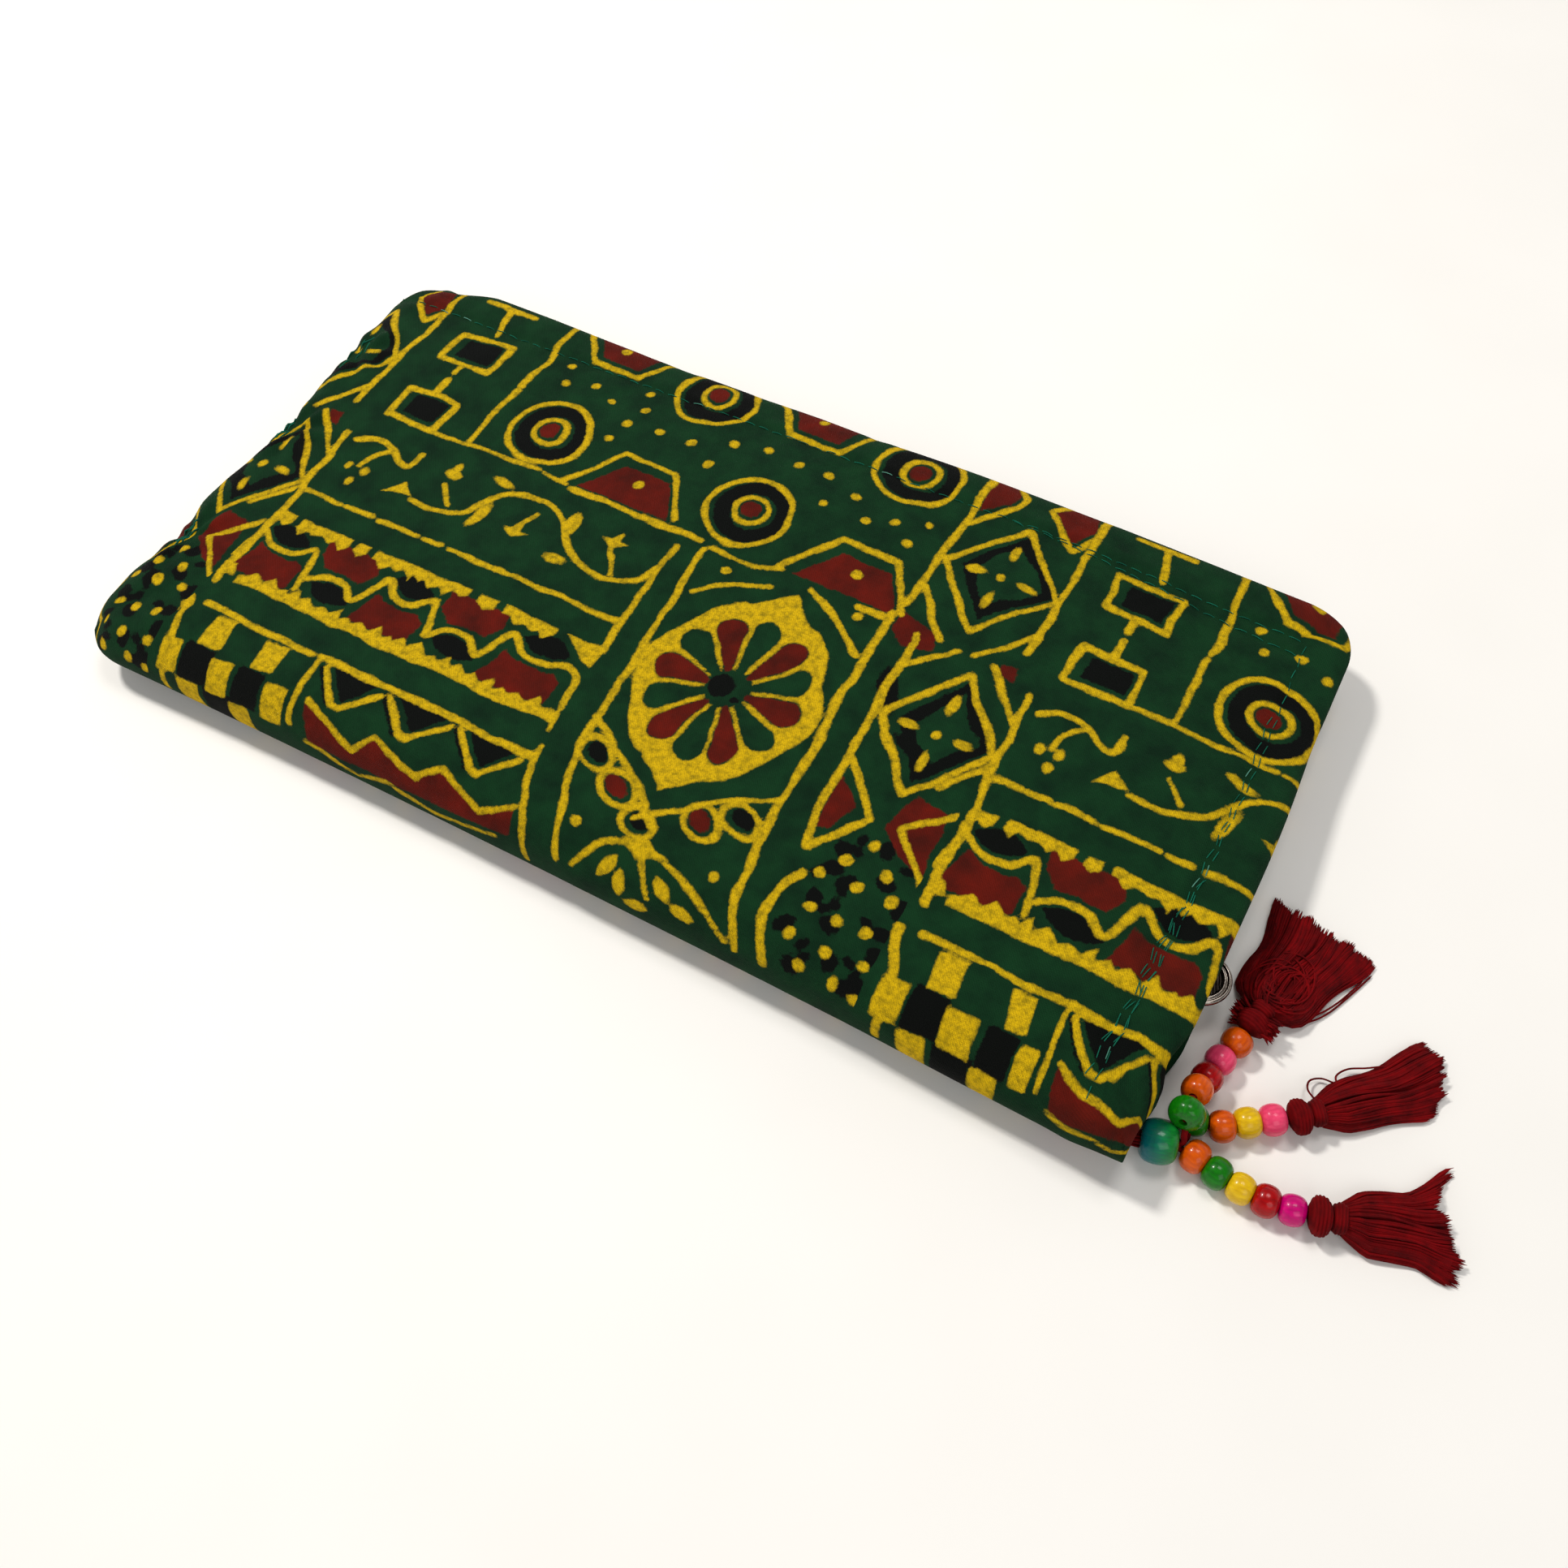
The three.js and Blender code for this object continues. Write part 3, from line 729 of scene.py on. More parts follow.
def wrapped_lump(radius, length, centre, wraps, seed):
    """A lump of wound thread about Z, with its wraps as ridges: points, quads, and tones that
    darken the grooves between the wraps as painted shade.
    """
    rows, sides = 36, 40
    t = np.linspace(-1, 1, rows)
    turn = ring_turns(sides)
    body = radius * np.clip(1 - np.abs(t) ** 2.6, 0.02, 1) ** 0.5
    ridge = np.abs(np.sin(math.pi * (t[:, None] * wraps / 2 + turn[None] / (2 * math.pi))))
    lumpy = 1 + 0.10 * noise(np.cos(turn)[None] * 1.5 + t[:, None], np.sin(turn)[None] * 1.5, 1.0,
        seed)
    out = body[:, None] * lumpy * (0.9 + 0.1 * ridge)
    points = np.stack([out * np.cos(turn), out * np.sin(turn),
        np.broadcast_to(centre + t[:, None] * length / 2, out.shape)], -1)
    # The tone rises, so the thread darkens, in the grooves between the wraps: painted shade.
    return points.reshape(-1, 3), grid_quads(rows, sides, wrap=True), 0.4 + 0.5 * (1
        - ridge).ravel()


def tuft_paths(rng, count, lowest):
    """Short cut ends that stick out of a knot on both sides, in the knot's own frame."""
    sign = np.where(rng.random(count) < 0.5, -1.0, 1.0)
    reach = sign * rng.uniform(2.7, 3.9, count)
    rows = []
    for out, high, slip, bend in zip(reach, rng.normal(0, 0.55, count), rng.normal(0, 0.7, count),
            rng.normal(0, 0.5, count)):
        rows.append(np.stack([np.linspace(0, max(high * 1.7, lowest), 7), np.linspace(0, out, 7),
            slip + bend * np.linspace(0, 1, 7) ** 2], 1))
    return np.array(rows)


def add_head(name, rng):
    """A tassel's wound knob and neck, and the cut ends that stick out of them."""
    facts = TASSELS[name]
    head = middle_mm(f"tassel_head_{name}")
    along, _ = skirt_frame(name)
    nod = unit(unit(head - bead_centres(name)[-1]) * 0.5 + along * 0.5) * [1, 1, 0]
    parts = [wrapped_lump(facts["knob"], **KNOB), wrapped_lump(facts["neck"], **NECK)]
    if facts["tufts"]:
        tufts = tubes(tuft_paths(rng, facts["tufts"], 0.4 - head[2]),
            TUFT_RADIUS * ends_closed(7)[None], 5, up=np.array([0.1, 0.2, 1.0]))
        parts.append((*tufts, np.repeat(rng.random(facts["tufts"]), 7 * 5)))
    piece = thread_piece(f"tassel_knot_{name}", *join_parts(parts))
    turn = Matrix(np.array([UP, np.cross(nod, UP), nod]).T.tolist()).to_4x4()
    resting = Vector((head[0], head[1], max(head[2], facts["knob"] * 1.03)))
    piece.matrix_world = Matrix.Translation(resting * MM) @ turn
    return fit(piece, f"tassel_{name}", "maroon_thread", f"tassel_head_{name}")


LOOSE_THREADS = {
    "a": [[(3.5, -4.6, 1.0), (8, -7.0, 0.4), (13, -8.2, 0.3), (18.6, -9.1, 0.3)],
          [(4.0, -4.0, 1.2), (8, -6.4, 0.6), (12, -7.7, 0.4), (17.0, -8.5, 0.3)]],
    "b": [[(2.6, 1.6, 2.6), (2.5, 3.6, 2.0), (3.7, 5.0, 1.2), (5.6, 4.9, 0.8), (6.6, 3.3, 2.0)],
          [(6.6, 3.0, 2.4), (7.6, 4.5, 1.4), (9.8, 5.0, 1.0), (12.2, 4.3, 1.2), (14.5, 3.6, 1.8)]],
    "c": [[(12, 4.6, 1.2), (14.4, 5.8, 0.6), (16.8, 6.9, 0.4), (17.6, 7.6, 0.3)]],
}


def add_loose_threads(name):
    local = np.array([curve(points, 30) for points in LOOSE_THREADS[name]])
    paths = skirt_points(name, local[..., 0], local[..., 1], local[..., 2])
    points, quads = tubes(paths, LOOSE_RADIUS * ends_closed(30, 0.05)[None], 6)
    piece = thread_piece(f"tassel_loose_{name}", points, quads, np.full(len(points), 0.8))
    return fit(piece, f"tassel_{name}", "maroon_thread")


def add_tassels():
    made = {}
    for i, name in enumerate(TASSELS):
        rng = np.random.default_rng(40 + i)
        made[name] = [add_head(name, rng), add_skirt(name, rng), add_loose_threads(name)]
    return made


# ---- The printed pattern ----------------------------------------------------------------------
TILE_LENGTH = 138.6
TILE_START = -81.5
TILE_SLIP = 0.9
FIRST_SLIP = 2.5
TILE_WIDTH = 112.0
TILE_LOW = -59.0
FAR = 9.0


class Ink:
    """How far each point is from one colour's marks, in millimetres; negative inside."""

    def __init__(self, x, y):
        self.x, self.y = x, y
        self.far = np.full(x.shape, FAR)

    def join(self, distance):
        self.far = np.minimum(self.far, distance)

    def cut(self, distance):
        self.far = np.maximum(self.far, -distance)

    def segment(self, a, b):
        dx, dy = b[0] - a[0], b[1] - a[1]
        t = ((self.x - a[0]) * dx + (self.y - a[1]) * dy) / max(dx * dx + dy * dy, 1e-9)
        t = np.clip(t, 0, 1)
        return np.hypot(self.x - a[0] - t * dx, self.y - a[1] - t * dy)

    def stroke(self, points, width=1.15):
        for a, b in zip(points, points[1:]):
            self.join(self.segment(a, b) - width / 2)

    def wavy(self, points, width=1.15):
        self.stroke([tuple(p) for p in curve(points, 6 * len(points))], width)

    def ellipse(self, at, across, along=None, turn=0.0):
        along = along or across
        c, s = math.cos(math.radians(turn)), math.sin(math.radians(turn))
        x, y = self.x - at[0], self.y - at[1]
        u, v = (x * c + y * s) / across, (y * c - x * s) / along
        return (np.hypot(u, v) - 1) * min(across, along)

    def dot(self, at, across=0.95, along=None, turn=0.0):
        self.join(self.ellipse(at, across, along, turn))

    def ring(self, at, radius, width=1.2):
        self.join(np.abs(self.ellipse(at, radius)) - width / 2)

    def area(self, points):
        """Signed distance to a filled outline."""
        edge = np.full(self.x.shape, FAR * 9)
        inside = np.zeros(self.x.shape, bool)
        for a, b in zip(points, points[1:] + points[:1]):
            edge = np.minimum(edge, self.segment(a, b))
            if a[1] != b[1]:
                crosses = (a[1] > self.y) != (b[1] > self.y)
                at = (b[0] - a[0]) * (self.y - a[1]) / (b[1] - a[1]) + a[0]
                inside ^= crosses & (self.x < at)
        return np.where(inside, -edge, edge)

    def fill(self, points):
        self.join(self.area(points))


def box_points(low, high):
    return [(low[0], low[1]), (high[0], low[1]), (high[0], high[1]), (low[0], high[1])]


def outline(ink, points, width=1.15):
    ink.stroke(points + points[:1], width)


def lens(at, half, tall, turn=0.0):
    """The outline of a leaf pointed at both ends."""
    t = np.linspace(-1, 1, 9)
    u = np.r_[t, t[-2:0:-1]] * half
    v = np.r_[tall * (1 - t * t), -tall * (1 - t[-2:0:-1] ** 2)]
    c, s = math.cos(math.radians(turn)), math.sin(math.radians(turn))
    return [(at[0] + a * c - b * s, at[1] + a * s + b * c) for a, b in zip(u, v)]


def toothed(left, right, flat, edge, tip, step):
    """The outline of a bar with one straight side and one side of uneven teeth."""
    points = [(left, flat), (right, flat), (right, edge)]
    x, k = right - step * 0.5, 0
    while x > left + step * 0.3:
        points += [(x, edge + (tip - edge) * (0.75 + 0.35 * math.sin(k * 2.3 + left))),
            (x - step * 0.5, edge)]
        x, k = x - step * (0.9 + 0.25 * math.sin(k * 1.7)), k + 1
    return points + [(left, edge)]


def wrapped(points):
    """A mark at the tile's right end, and its copy at the left end of the next tile."""
    return [points, [(x - TILE_LENGTH, y - TILE_SLIP) for x, y in points]]


def draw_squares(yellow, maroon, black):
    """A column of linked square frames, with a bar along it and the line they stand on."""
    yellow.stroke([(-79, 48.8), (-67.6, 48.8)], 1.3)
    yellow.stroke([(-73.2, 48.5), (-72.6, 45.6), (-71.6, 41.4)], 1.3)
    for low, high in [((-78.2, 31.2), (-66.6, 39.4)), ((-78.0, 14.0), (-67.2, 21.8))]:
        outline(yellow, box_points(low, high), 1.35)
        black.fill(box_points((low[0] + 2.0, low[1] + 1.2), (high[0] - 1.5, high[1] - 1.5)))
    for a, b in [((-72.6, 30.4), (-72.7, 28.4)), ((-72.7, 26.2), (-72.8, 22.8))]:
        yellow.stroke([a, b], 1.5)
    yellow.stroke([(-59.4, 52.5), (-58.9, 43.5), (-58.0, 40.2), (-58.6, 31.6)], 1.3)
    yellow.stroke([(-58.7, 30.4), (-59.3, 22.0), (-59.2, 14.4)], 1.15)
    yellow.stroke([(-67.0, 14.0), (-42.6, 14.5)], 1.0)
    yellow.stroke([(-41.6, 14.4), (-36.5, 14.2)], 0.9)
    yellow.stroke([(-35.0, 13.7), (-14.5, 13.4), (-7.5, 13.4)], 1.3)
    yellow.stroke([(-5.0, 13.0), (3.6, 12.6), (8.6, 14.2)], 1.0)


def draw_rings(yellow, maroon, black):
    for x, y in [(-46.7, 23.4), (-3.2, 22.9), (-23.7, 46.4), (18.9, 45.6)]:
        yellow.ring((x, y), 7.8, 1.25)
        black.join(np.abs(black.ellipse((x + 0.4, y - 0.2), 5.6)) - 1.45)
        yellow.ring((x + 0.2, y + 0.3), 3.1, 1.15)
        maroon.dot((x + 0.3, y + 0.1), 1.9)


def draw_half_hexagons(yellow, maroon, black):
    for dx, dy in [(0, 0), (45.1, -0.6)]:
        yellow.stroke([(-37.6 + dx, 14.8 + dy), (-30.3 + dx, 25.6 + dy), (-19.9 + dx, 25.2 + dy),
            (-13.8 + dx, 15.4 + dy)], 1.2)
        maroon.fill([(-34.2 + dx, 14.4 + dy), (-28.6 + dx, 22.6 + dy), (-19.4 + dx, 22.4 + dy),
            (-14.4 + dx, 14.2 + dy)])
        yellow.dot((-24.7 + dx, 19.8 + dy), 1.15)
    for dx in (0, 43.6):
        yellow.stroke([(-56.4 + dx, 52.4), (-50.2 + dx, 44.0), (-40.0 + dx, 43.8),
            (-36.2 + dx, 51.6)], 1.25)
        maroon.fill([(-54.2 + dx, 53.4), (-49.0 + dx, 45.4), (-41.0 + dx, 45.2),
            (-38.0 + dx, 53.4)])
        yellow.dot((-46.4 + dx, 49.8), 1.1)


def draw_dots(yellow, maroon, black):
    for x, y in [(-53.3, 40.7), (-51.4, 36.2), (-45.7, 38.2), (-40.8, 35.9), (-35.8, 40.9),
            (-33.7, 36.4), (-34.8, 31.8), (-35.9, 27.2), (-28.0, 33.1), (-21.3, 32.8),
            (-14.1, 36.5), (-15.5, 30.0), (-7.9, 37.9), (-0.9, 36.7), (5.2, 37.6), (12.0, 34.9),
            (7.3, 30.8), (15.7, 30.5), (20.7, 32.2), (26.0, 34.9), (24.9, 28.9), (-0.3, 9.8)]:
        yellow.dot((x, y), 0.95, 0.9)


def draw_vine(yellow, maroon, black):
    yellow.wavy([(-60.4, -1.6), (-55.5, -1.8), (-50.2, -0.4), (-47.2, 3.2), (-44.2, 7.0),
        (-37.0, 8.6), (-31.6, 5.8), (-26.6, 1.0), (-22.5, -1.4), (-17.6, -1.8), (-12.8, 0.6),
        (-11.0, 4.4)], 1.2)
    yellow.wavy([(-78.6, 5.8), (-75.4, 7.6), (-70.6, 6.6), (-67.6, 4.6), (-65.4, 4.6),
        (-65.0, 8.2)], 1.3)
    yellow.wavy([(-70.8, 6.2), (-73.2, 3.6), (-74.2, 0.6)], 1.1)
    for at in [(-76.1, -0.2), (-72.6, 0.0), (-73.4, -3.0)]:
        yellow.dot(at, 0.9, 1.1)
    for at, across, along, turn in [((-46.4, 0.6), 1.1, 3.2, -16), ((-29.6, 6.6), 1.3, 2.8, 8),
            ((-28.0, -1.9), 2.1, 1.0, 4), ((-46.8, 9.0), 2.6, 0.9, -14),
            ((-56.7, 6.6), 1.9, 1.2, 0), ((-56.7, 8.2), 0.9, 1.4, 0)]:
        yellow.dot(at, across, along, turn)
    for at in [(-38.2, 0.2), (-20.4, 5.8)]:
        yellow.fill([(at[0] - 3.2, at[1] + 0.5), (at[0], at[1] - 1.2), (at[0] + 2.6, at[1] + 0.6),
            (at[0] + 0.9, at[1] + 0.8), (at[0] + 0.3, at[1] + 3.6), (at[0] - 0.9, at[1] + 0.9)])
    yellow.fill([(-67.0, -2.8), (-64.0, 1.6), (-60.6, -0.8), (-64.6, -1.6)])
    yellow.stroke([(-56.6, 4.0), (-53.2, 0.4)], 1.0)
    yellow.stroke([(-37.0, 5.2), (-38.8, 1.4)], 1.0)
    yellow.stroke([(-20.2, 4.4), (-17.6, -0.8)], 1.0)
    for a, b in [(-79.3, -75.2), (-74.4, -70.8), (-69.8, -63.8), (-62.3, -53.4), (-51.9, -48.2),
            (-46.2, -10.4)]:
        yellow.stroke([(a, -8.6), (b, -8.5)], 1.15)
    yellow.stroke([(-10.8, 10.2), (-10.6, -2.4), (-10.1, -8.4), (-9.6, -14.6)], 1.2)


def draw_wave_band(yellow, maroon, black):
    """A band between two toothed borders, with patches and leaves on either side of a wave."""
    for a, b, deep in [(-80.6, -76.2, -17.4), (-74.6, -63.2, -17.6), (-61.8, -59.0, -17.0),
            (-57.6, -36.6, -17.8), (-34.6, -31.2, -17.2), (-29.6, -18.6, -17.6)]:
        yellow.fill(toothed(a, b, -14.3, -16.1, deep, 3.0))
    yellow.fill([(-17.0, -14.5), (-9.6, -14.3), (-9.4, -19.0), (-11.6, -18.2), (-13.6, -16.8)])
    yellow.fill([(-81.0, -28.8), (-78.4, -28.2), (-77.2, -30.6), (-79.4, -31.2)])
    yellow.fill(toothed(-76.6, -8.8, -31.9, -29.9, -27.9, 3.3))
    yellow.wavy([(-81.0, -26.6), (-80.4, -21.6), (-79.6, -19.6), (-76.2, -21.9), (-71.2, -21.6),
        (-68.4, -19.2), (-67.0, -22.6), (-65.8, -28.4)], 1.25)
    yellow.wavy([(-65.4, -25.6), (-62.4, -23.4), (-58.2, -23.4), (-55.2, -25.8), (-53.0, -21.4),
        (-51.6, -18.8), (-48.4, -21.6), (-44.6, -21.9), (-41.0, -19.0), (-39.4, -22.6),
        (-38.4, -26.4), (-35.6, -23.4), (-31.4, -23.3), (-28.4, -25.8), (-26.2, -21.4),
        (-24.4, -18.8), (-20.6, -21.8), (-16.4, -21.9), (-12.6, -20.4), (-10.0, -22.4),
        (-9.2, -28.4)], 1.3)
    for a, b in [(-79.4, -67.2), (-53.0, -40.2), (-25.6, -11.8)]:
        maroon.fill([(a, -29.8), (b, -29.8), (b, -24.4), (b - 1.8, -23.2), (b - 3.6, -23.8),
            (a + 4.0, -23.6), (a + 1.6, -22.4)])
    for a, b in [(-66.6, -54.6), (-39.2, -27.4)]:
        maroon.fill([(a, -16.2), (b, -16.2), (b + 0.6, -19.4), (b - 1.2, -22.4), (b - 5.4, -21.8),
            (a + 3.0, -22.4), (a + 0.6, -20.0)])
    for at, turn in [((-74.6, -19.0), -4), ((-59.8, -26.6), -6), ((-46.4, -18.8), -4),
            ((-32.8, -26.6), -6), ((-18.4, -18.9), -4)]:
        black.fill(lens(at, 4.8, 2.2, turn))


def draw_checks(yellow, maroon, black):
    """A bar with blocks hanging from it, above rows of blocks that step down to the fold."""
    yellow.stroke([(-77.8, -37.9), (-53.4, -38.2)], 1.3)
    yellow.stroke([(-51.8, -37.9), (-30.0, -38.2), (-7.6, -38.6)], 1.5)
    for x, y in [(-71.4, -42.4), (-59.6, -42.6), (-77.6, -49.6), (-66.8, -49.8), (-54.6, -49.9),
            (-72.4, -55.9), (-61.0, -56.2)]:
        yellow.fill([(x - 2.5, y + 3.2), (x + 2.1, y + 3.4), (x + 2.7, y - 3.0),
            (x - 1.9, y - 3.3)])
    for x, y in [(-72.2, -49.4), (-60.8, -49.8), (-66.6, -55.8)]:
        black.fill([(x - 2.9, y + 3.6), (x + 2.9, y + 3.3), (x + 3.1, y - 3.4), (x - 2.7, y - 3.7)])
    yellow.stroke([(-51.6, -38.4), (-50.8, -45.0), (-50.0, -51.4)], 1.2)


def draw_triangles(yellow, maroon, black):
    for x in (-43.0, -29.2, -15.0):
        yellow.stroke([(x - 6.4, -39.4), (x - 0.6, -45.4), (x + 0.8, -45.6), (x + 6.0, -40.2)], 1.2)
        black.fill([(x - 5.4, -38.8), (x + 4.8, -38.8), (x + 0.4, -44.8)])
        black.stroke([(x - 7.4, -40.2), (x - 1.8, -46.0)], 0.9)
    zigzag = [(-48.0, -46.4), (-37.2, -51.0), (-33.6, -47.4), (-23.9, -50.8), (-20.0, -47.4),
        (-11.4, -50.8), (-5.4, -47.8)]
    yellow.stroke(zigzag, 1.2)
    maroon.fill(zigzag + [(-4.6, -53.4), (-20.0, -54.4), (-46.0, -54.0)])
    yellow.stroke([(-47.0, -53.6), (-36.0, -56.2), (-30.0, -54.2), (-20.0, -56.6), (-8.0, -54.4)],
        1.0)
    yellow.stroke([(-9.4, -27.4), (-8.4, -33.0)], 0.9)
    yellow.stroke([(-7.6, -36.2), (-5.8, -43.6), (-3.2, -50.4), (-1.6, -56.0)], 1.1)


MEDALLION = (13.2, -12.1)
PETALS = 12
MEDALLION_SIZE = 1.12
MEDALLION_STRETCH = 1.12


def draw_medallion(yellow, maroon, black):
    """A twelve-petalled flower cut out of a pointed yellow round."""
    x, y = MEDALLION

    def upright(ink):
        return Ink((ink.x - x) / MEDALLION_SIZE, (ink.y - y) / (MEDALLION_SIZE * MEDALLION_STRETCH))

    round_ = upright(yellow)
    wobble = 0.5 * np.cos(6 * np.arctan2(round_.y, round_.x))
    round_.join(np.hypot(round_.x, round_.y) - 14.3 - wobble)
    for sign in (-1, 1):
        round_.fill([(-5.6, sign * 13.2), (0.3, sign * 18.0), (5.8, sign * 13.0)])
    red = upright(maroon)
    for k in range(PETALS):
        turn = 2 * math.pi * k / PETALS
        cx, cy = math.cos(turn), math.sin(turn)
        along = round_.x * cx + round_.y * cy
        aside = np.abs(round_.y * cx - round_.x * cy)
        t = np.clip((along - 3.4) / 6.6, 0, 1)
        leaf = np.hypot(along - 3.4 - 6.6 * t, aside) - (0.62 + 1.62 * t)
        round_.cut(leaf)
        if k % 2 == 0:
            red.join(leaf + 0.1)
    round_.cut(np.hypot(round_.x, round_.y) - 3.3)
    yellow.join(round_.far * MEDALLION_SIZE)
    maroon.join(red.far * MEDALLION_SIZE)
    black.dot((x - 1.6, y - 0.2), 2.1, 2.4)
    black.dot((x + 1.9, y - 1.9), 0.8)


def draw_medallion_frame(yellow, maroon, black):
    yellow.wavy([(-5.8, 12.0), (-5.0, -0.4), (-3.5, -16.5), (-2.7, -25.4), (-0.9, -36.7),
        (3.8, -52.5)], 1.3)
    yellow.wavy([(29.8, 14.4), (30.1, 1.0), (30.3, -6.0), (31.4, -16.5), (31.6, -29.4),
        (33.6, -44.7), (36.2, -52.8)], 1.4)
    yellow.wavy([(-2.9, 2.6), (2.4, 7.4), (8.6, 9.8)], 1.0)
    yellow.wavy([(14.9, 12.4), (21.4, 8.6), (28.2, 3.4)], 1.3)
    yellow.wavy([(-2.9, -26.8), (4.2, -31.0), (11.2, -36.0), (16.0, -40.8)], 1.1)
    yellow.wavy([(31.4, -26.6), (23.7, -31.6), (18.2, -36.2), (12.4, -40.6)], 1.1)
    for at, red in [((1.2, -33.0), False), ((7.4, -37.0), True), ((13.6, -41.0), False),
            ((22.6, -36.4), True), ((28.0, -33.4), False)]:
        yellow.join(np.abs(yellow.ellipse(at, 3.4, 2.5, -30)) - 0.5)
        (maroon if red else black).dot(at, 2.2, 1.5, -30)
    yellow.fill([(12.6, -45.0), (16.0, -42.6), (20.0, -45.2), (16.4, -46.8)])
    yellow.wavy([(6.6, -52.0), (10.2, -46.6), (15.9, -44.8), (24.6, -46.4), (34.2, -52.2)], 1.1)
    yellow.stroke([(17.2, -46.0), (20.4, -51.6)], 1.2)
    for at, turn in [((12.4, -49.6), 62), ((15.2, -51.4), 100), ((22.4, -49.4), -38),
            ((26.6, -51.4), -12), ((18.6, -54.0), 4)]:
        yellow.fill(lens(at, 2.6, 1.2, turn))
    for at in [(4.6, -45.1), (29.0, -44.0), (25.2, 10.6)]:
        yellow.dot(at, 0.95)
    yellow.stroke([(24.0, 12.6), (30.0, 13.0)], 1.6)


def draw_diamond(yellow, black, at, half, tall):
    x, y = at
    points = [(x, y + tall), (x + half, y), (x, y - tall), (x - half, y)]
    outline(yellow, points, 1.2)
    inner = black.area([(x + 0.6, y + tall - 1.2), (x + half - 1.0, y + 0.4), (x, y - tall + 2.4),
        (x - half + 2.6, y)])
    black.join(np.maximum(inner, -inner - 1.9 - 0.5 * np.sin(black.x * 0.9)))
    for dx, dy, across, along in [(0, 6.2, 0.95, 2.0), (0, -5.6, 0.8, 1.9), (-4.9, 0, 1.9, 0.9),
            (4.7, 0, 1.8, 0.9), (0, 0, 0.9, 0.9)]:
        yellow.dot((x + dx, y + dy), across, along)


def draw_diamonds(yellow, maroon, black):
    """A column of two diamonds between two bars, with patches in the corners they leave."""
    draw_diamond(yellow, black, (42.5, 29.4), 10.4, 12.6)
    draw_diamond(yellow, black, (47.2, -4.4), 9.8, 12.8)
    yellow.stroke([(31.0, 52.4), (31.6, 42.0), (31.0, 30.4), (30.8, 17.4)], 1.4)
    yellow.stroke([(53.4, 52.4), (53.6, 34.0), (53.2, 16.6)], 1.4)
    yellow.stroke([(35.4, 12.0), (36.4, -8.0), (37.2, -24.0), (38.4, -32.4)], 1.4)
    for line in wrapped([(56.6, 9.0), (57.0, 7.2), (57.6, -4.0), (58.8, -14.8)]):
        yellow.stroke(line, 1.4)
    for line in wrapped([(58.6, -15.0), (58.4, -21.0), (58.9, -32.4)]):
        yellow.stroke(line, 1.5)
    for line in wrapped([(57.4, -17.0), (58.6, -15.4), (59.4, -26.0), (58.8, -32.0)]):
        yellow.fill(line)
    yellow.stroke([(35.4, 51.8), (38.4, 48.4), (38.4, 45.9), (32.2, 39.2)], 1.25)
    maroon.fill([(31.4, 53.0), (35.8, 52.4), (37.6, 48.2), (37.2, 45.6), (33.0, 42.4)])
    yellow.stroke([(47.6, 52.4), (43.9, 48.1), (50.8, 40.9), (52.8, 44.4)], 1.25)
    maroon.fill([(47.2, 51.4), (45.0, 48.0), (50.6, 42.2), (53.2, 46.6), (52.0, 52.4)])
    black.dot((36.2, -0.6), 1.7, 4.6, 28)
    black.dot((45.0, -9.6), 4.4, 1.5, -24)
    yellow.stroke([(31.6, 22.0), (39.4, 12.6)], 1.2)
    yellow.stroke([(53.0, 20.4), (45.6, 12.2)], 1.2)
    maroon.fill([(31.6, 15.4), (38.6, 13.2), (40.0, 9.6), (34.0, 8.2), (31.4, 11.0)])
    yellow.stroke([(36.0, 5.0), (43.0, 11.8)], 1.2)
    yellow.stroke([(49.4, 11.6), (57.0, 2.6)], 1.3)
    maroon.fill([(50.4, 12.2), (53.4, 12.6), (53.8, 9.4), (51.6, 10.0)])
    yellow.stroke([(37.4, -14.8), (45.4, -23.2), (38.8, -32.4)], 1.3)
    maroon.fill([(37.8, -18.6), (42.6, -22.6), (41.0, -27.8), (38.8, -29.0)])
    yellow.stroke([(58.0, -15.2), (50.4, -22.8), (58.8, -32.0)], 1.2)
    maroon.fill([(50.0, -16.8), (55.6, -17.4), (57.2, -29.6), (53.0, -28.0), (48.4, -24.0)])
    yellow.stroke([(51.6, -13.2), (57.4, -6.4)], 1.2)


def draw_dome(yellow, maroon, black):
    yellow.wavy([(40.4, -36.6), (38.9, -40.4), (38.8, -46.0), (41.2, -53.0)], 1.5)
    for line in wrapped([(57.4, -37.4), (58.6, -41.6), (60.4, -48.0), (60.8, -56.0)]):
        yellow.wavy(line, 1.5)
    for i, (x, y) in enumerate([(48.2, -27.6), (45.4, -31.4), (51.9, -31.2), (42.8, -35.1),
            (48.7, -34.9), (54.6, -34.8), (44.4, -41.3), (48.9, -41.4), (53.8, -41.0),
            (43.6, -46.7), (49.8, -46.7), (55.7, -46.2), (46.6, -50.6), (52.6, -50.6),
            (56.6, -51.4)]):
        yellow.dot((x, y), 0.95 + 0.2 * (i % 3 == 1), 1.15 - 0.15 * (i % 2), 20 * i)
        black.dot((x + 1.9 * math.cos(i * 2.4), y + 1.7 * math.sin(i * 2.4)), 1.35, 1.8, 35 * i)
        black.dot((x - 2.3 * math.cos(i * 1.7), y + 2.0 * math.sin(i * 1.1)), 0.8, 1.3, 55 * i)


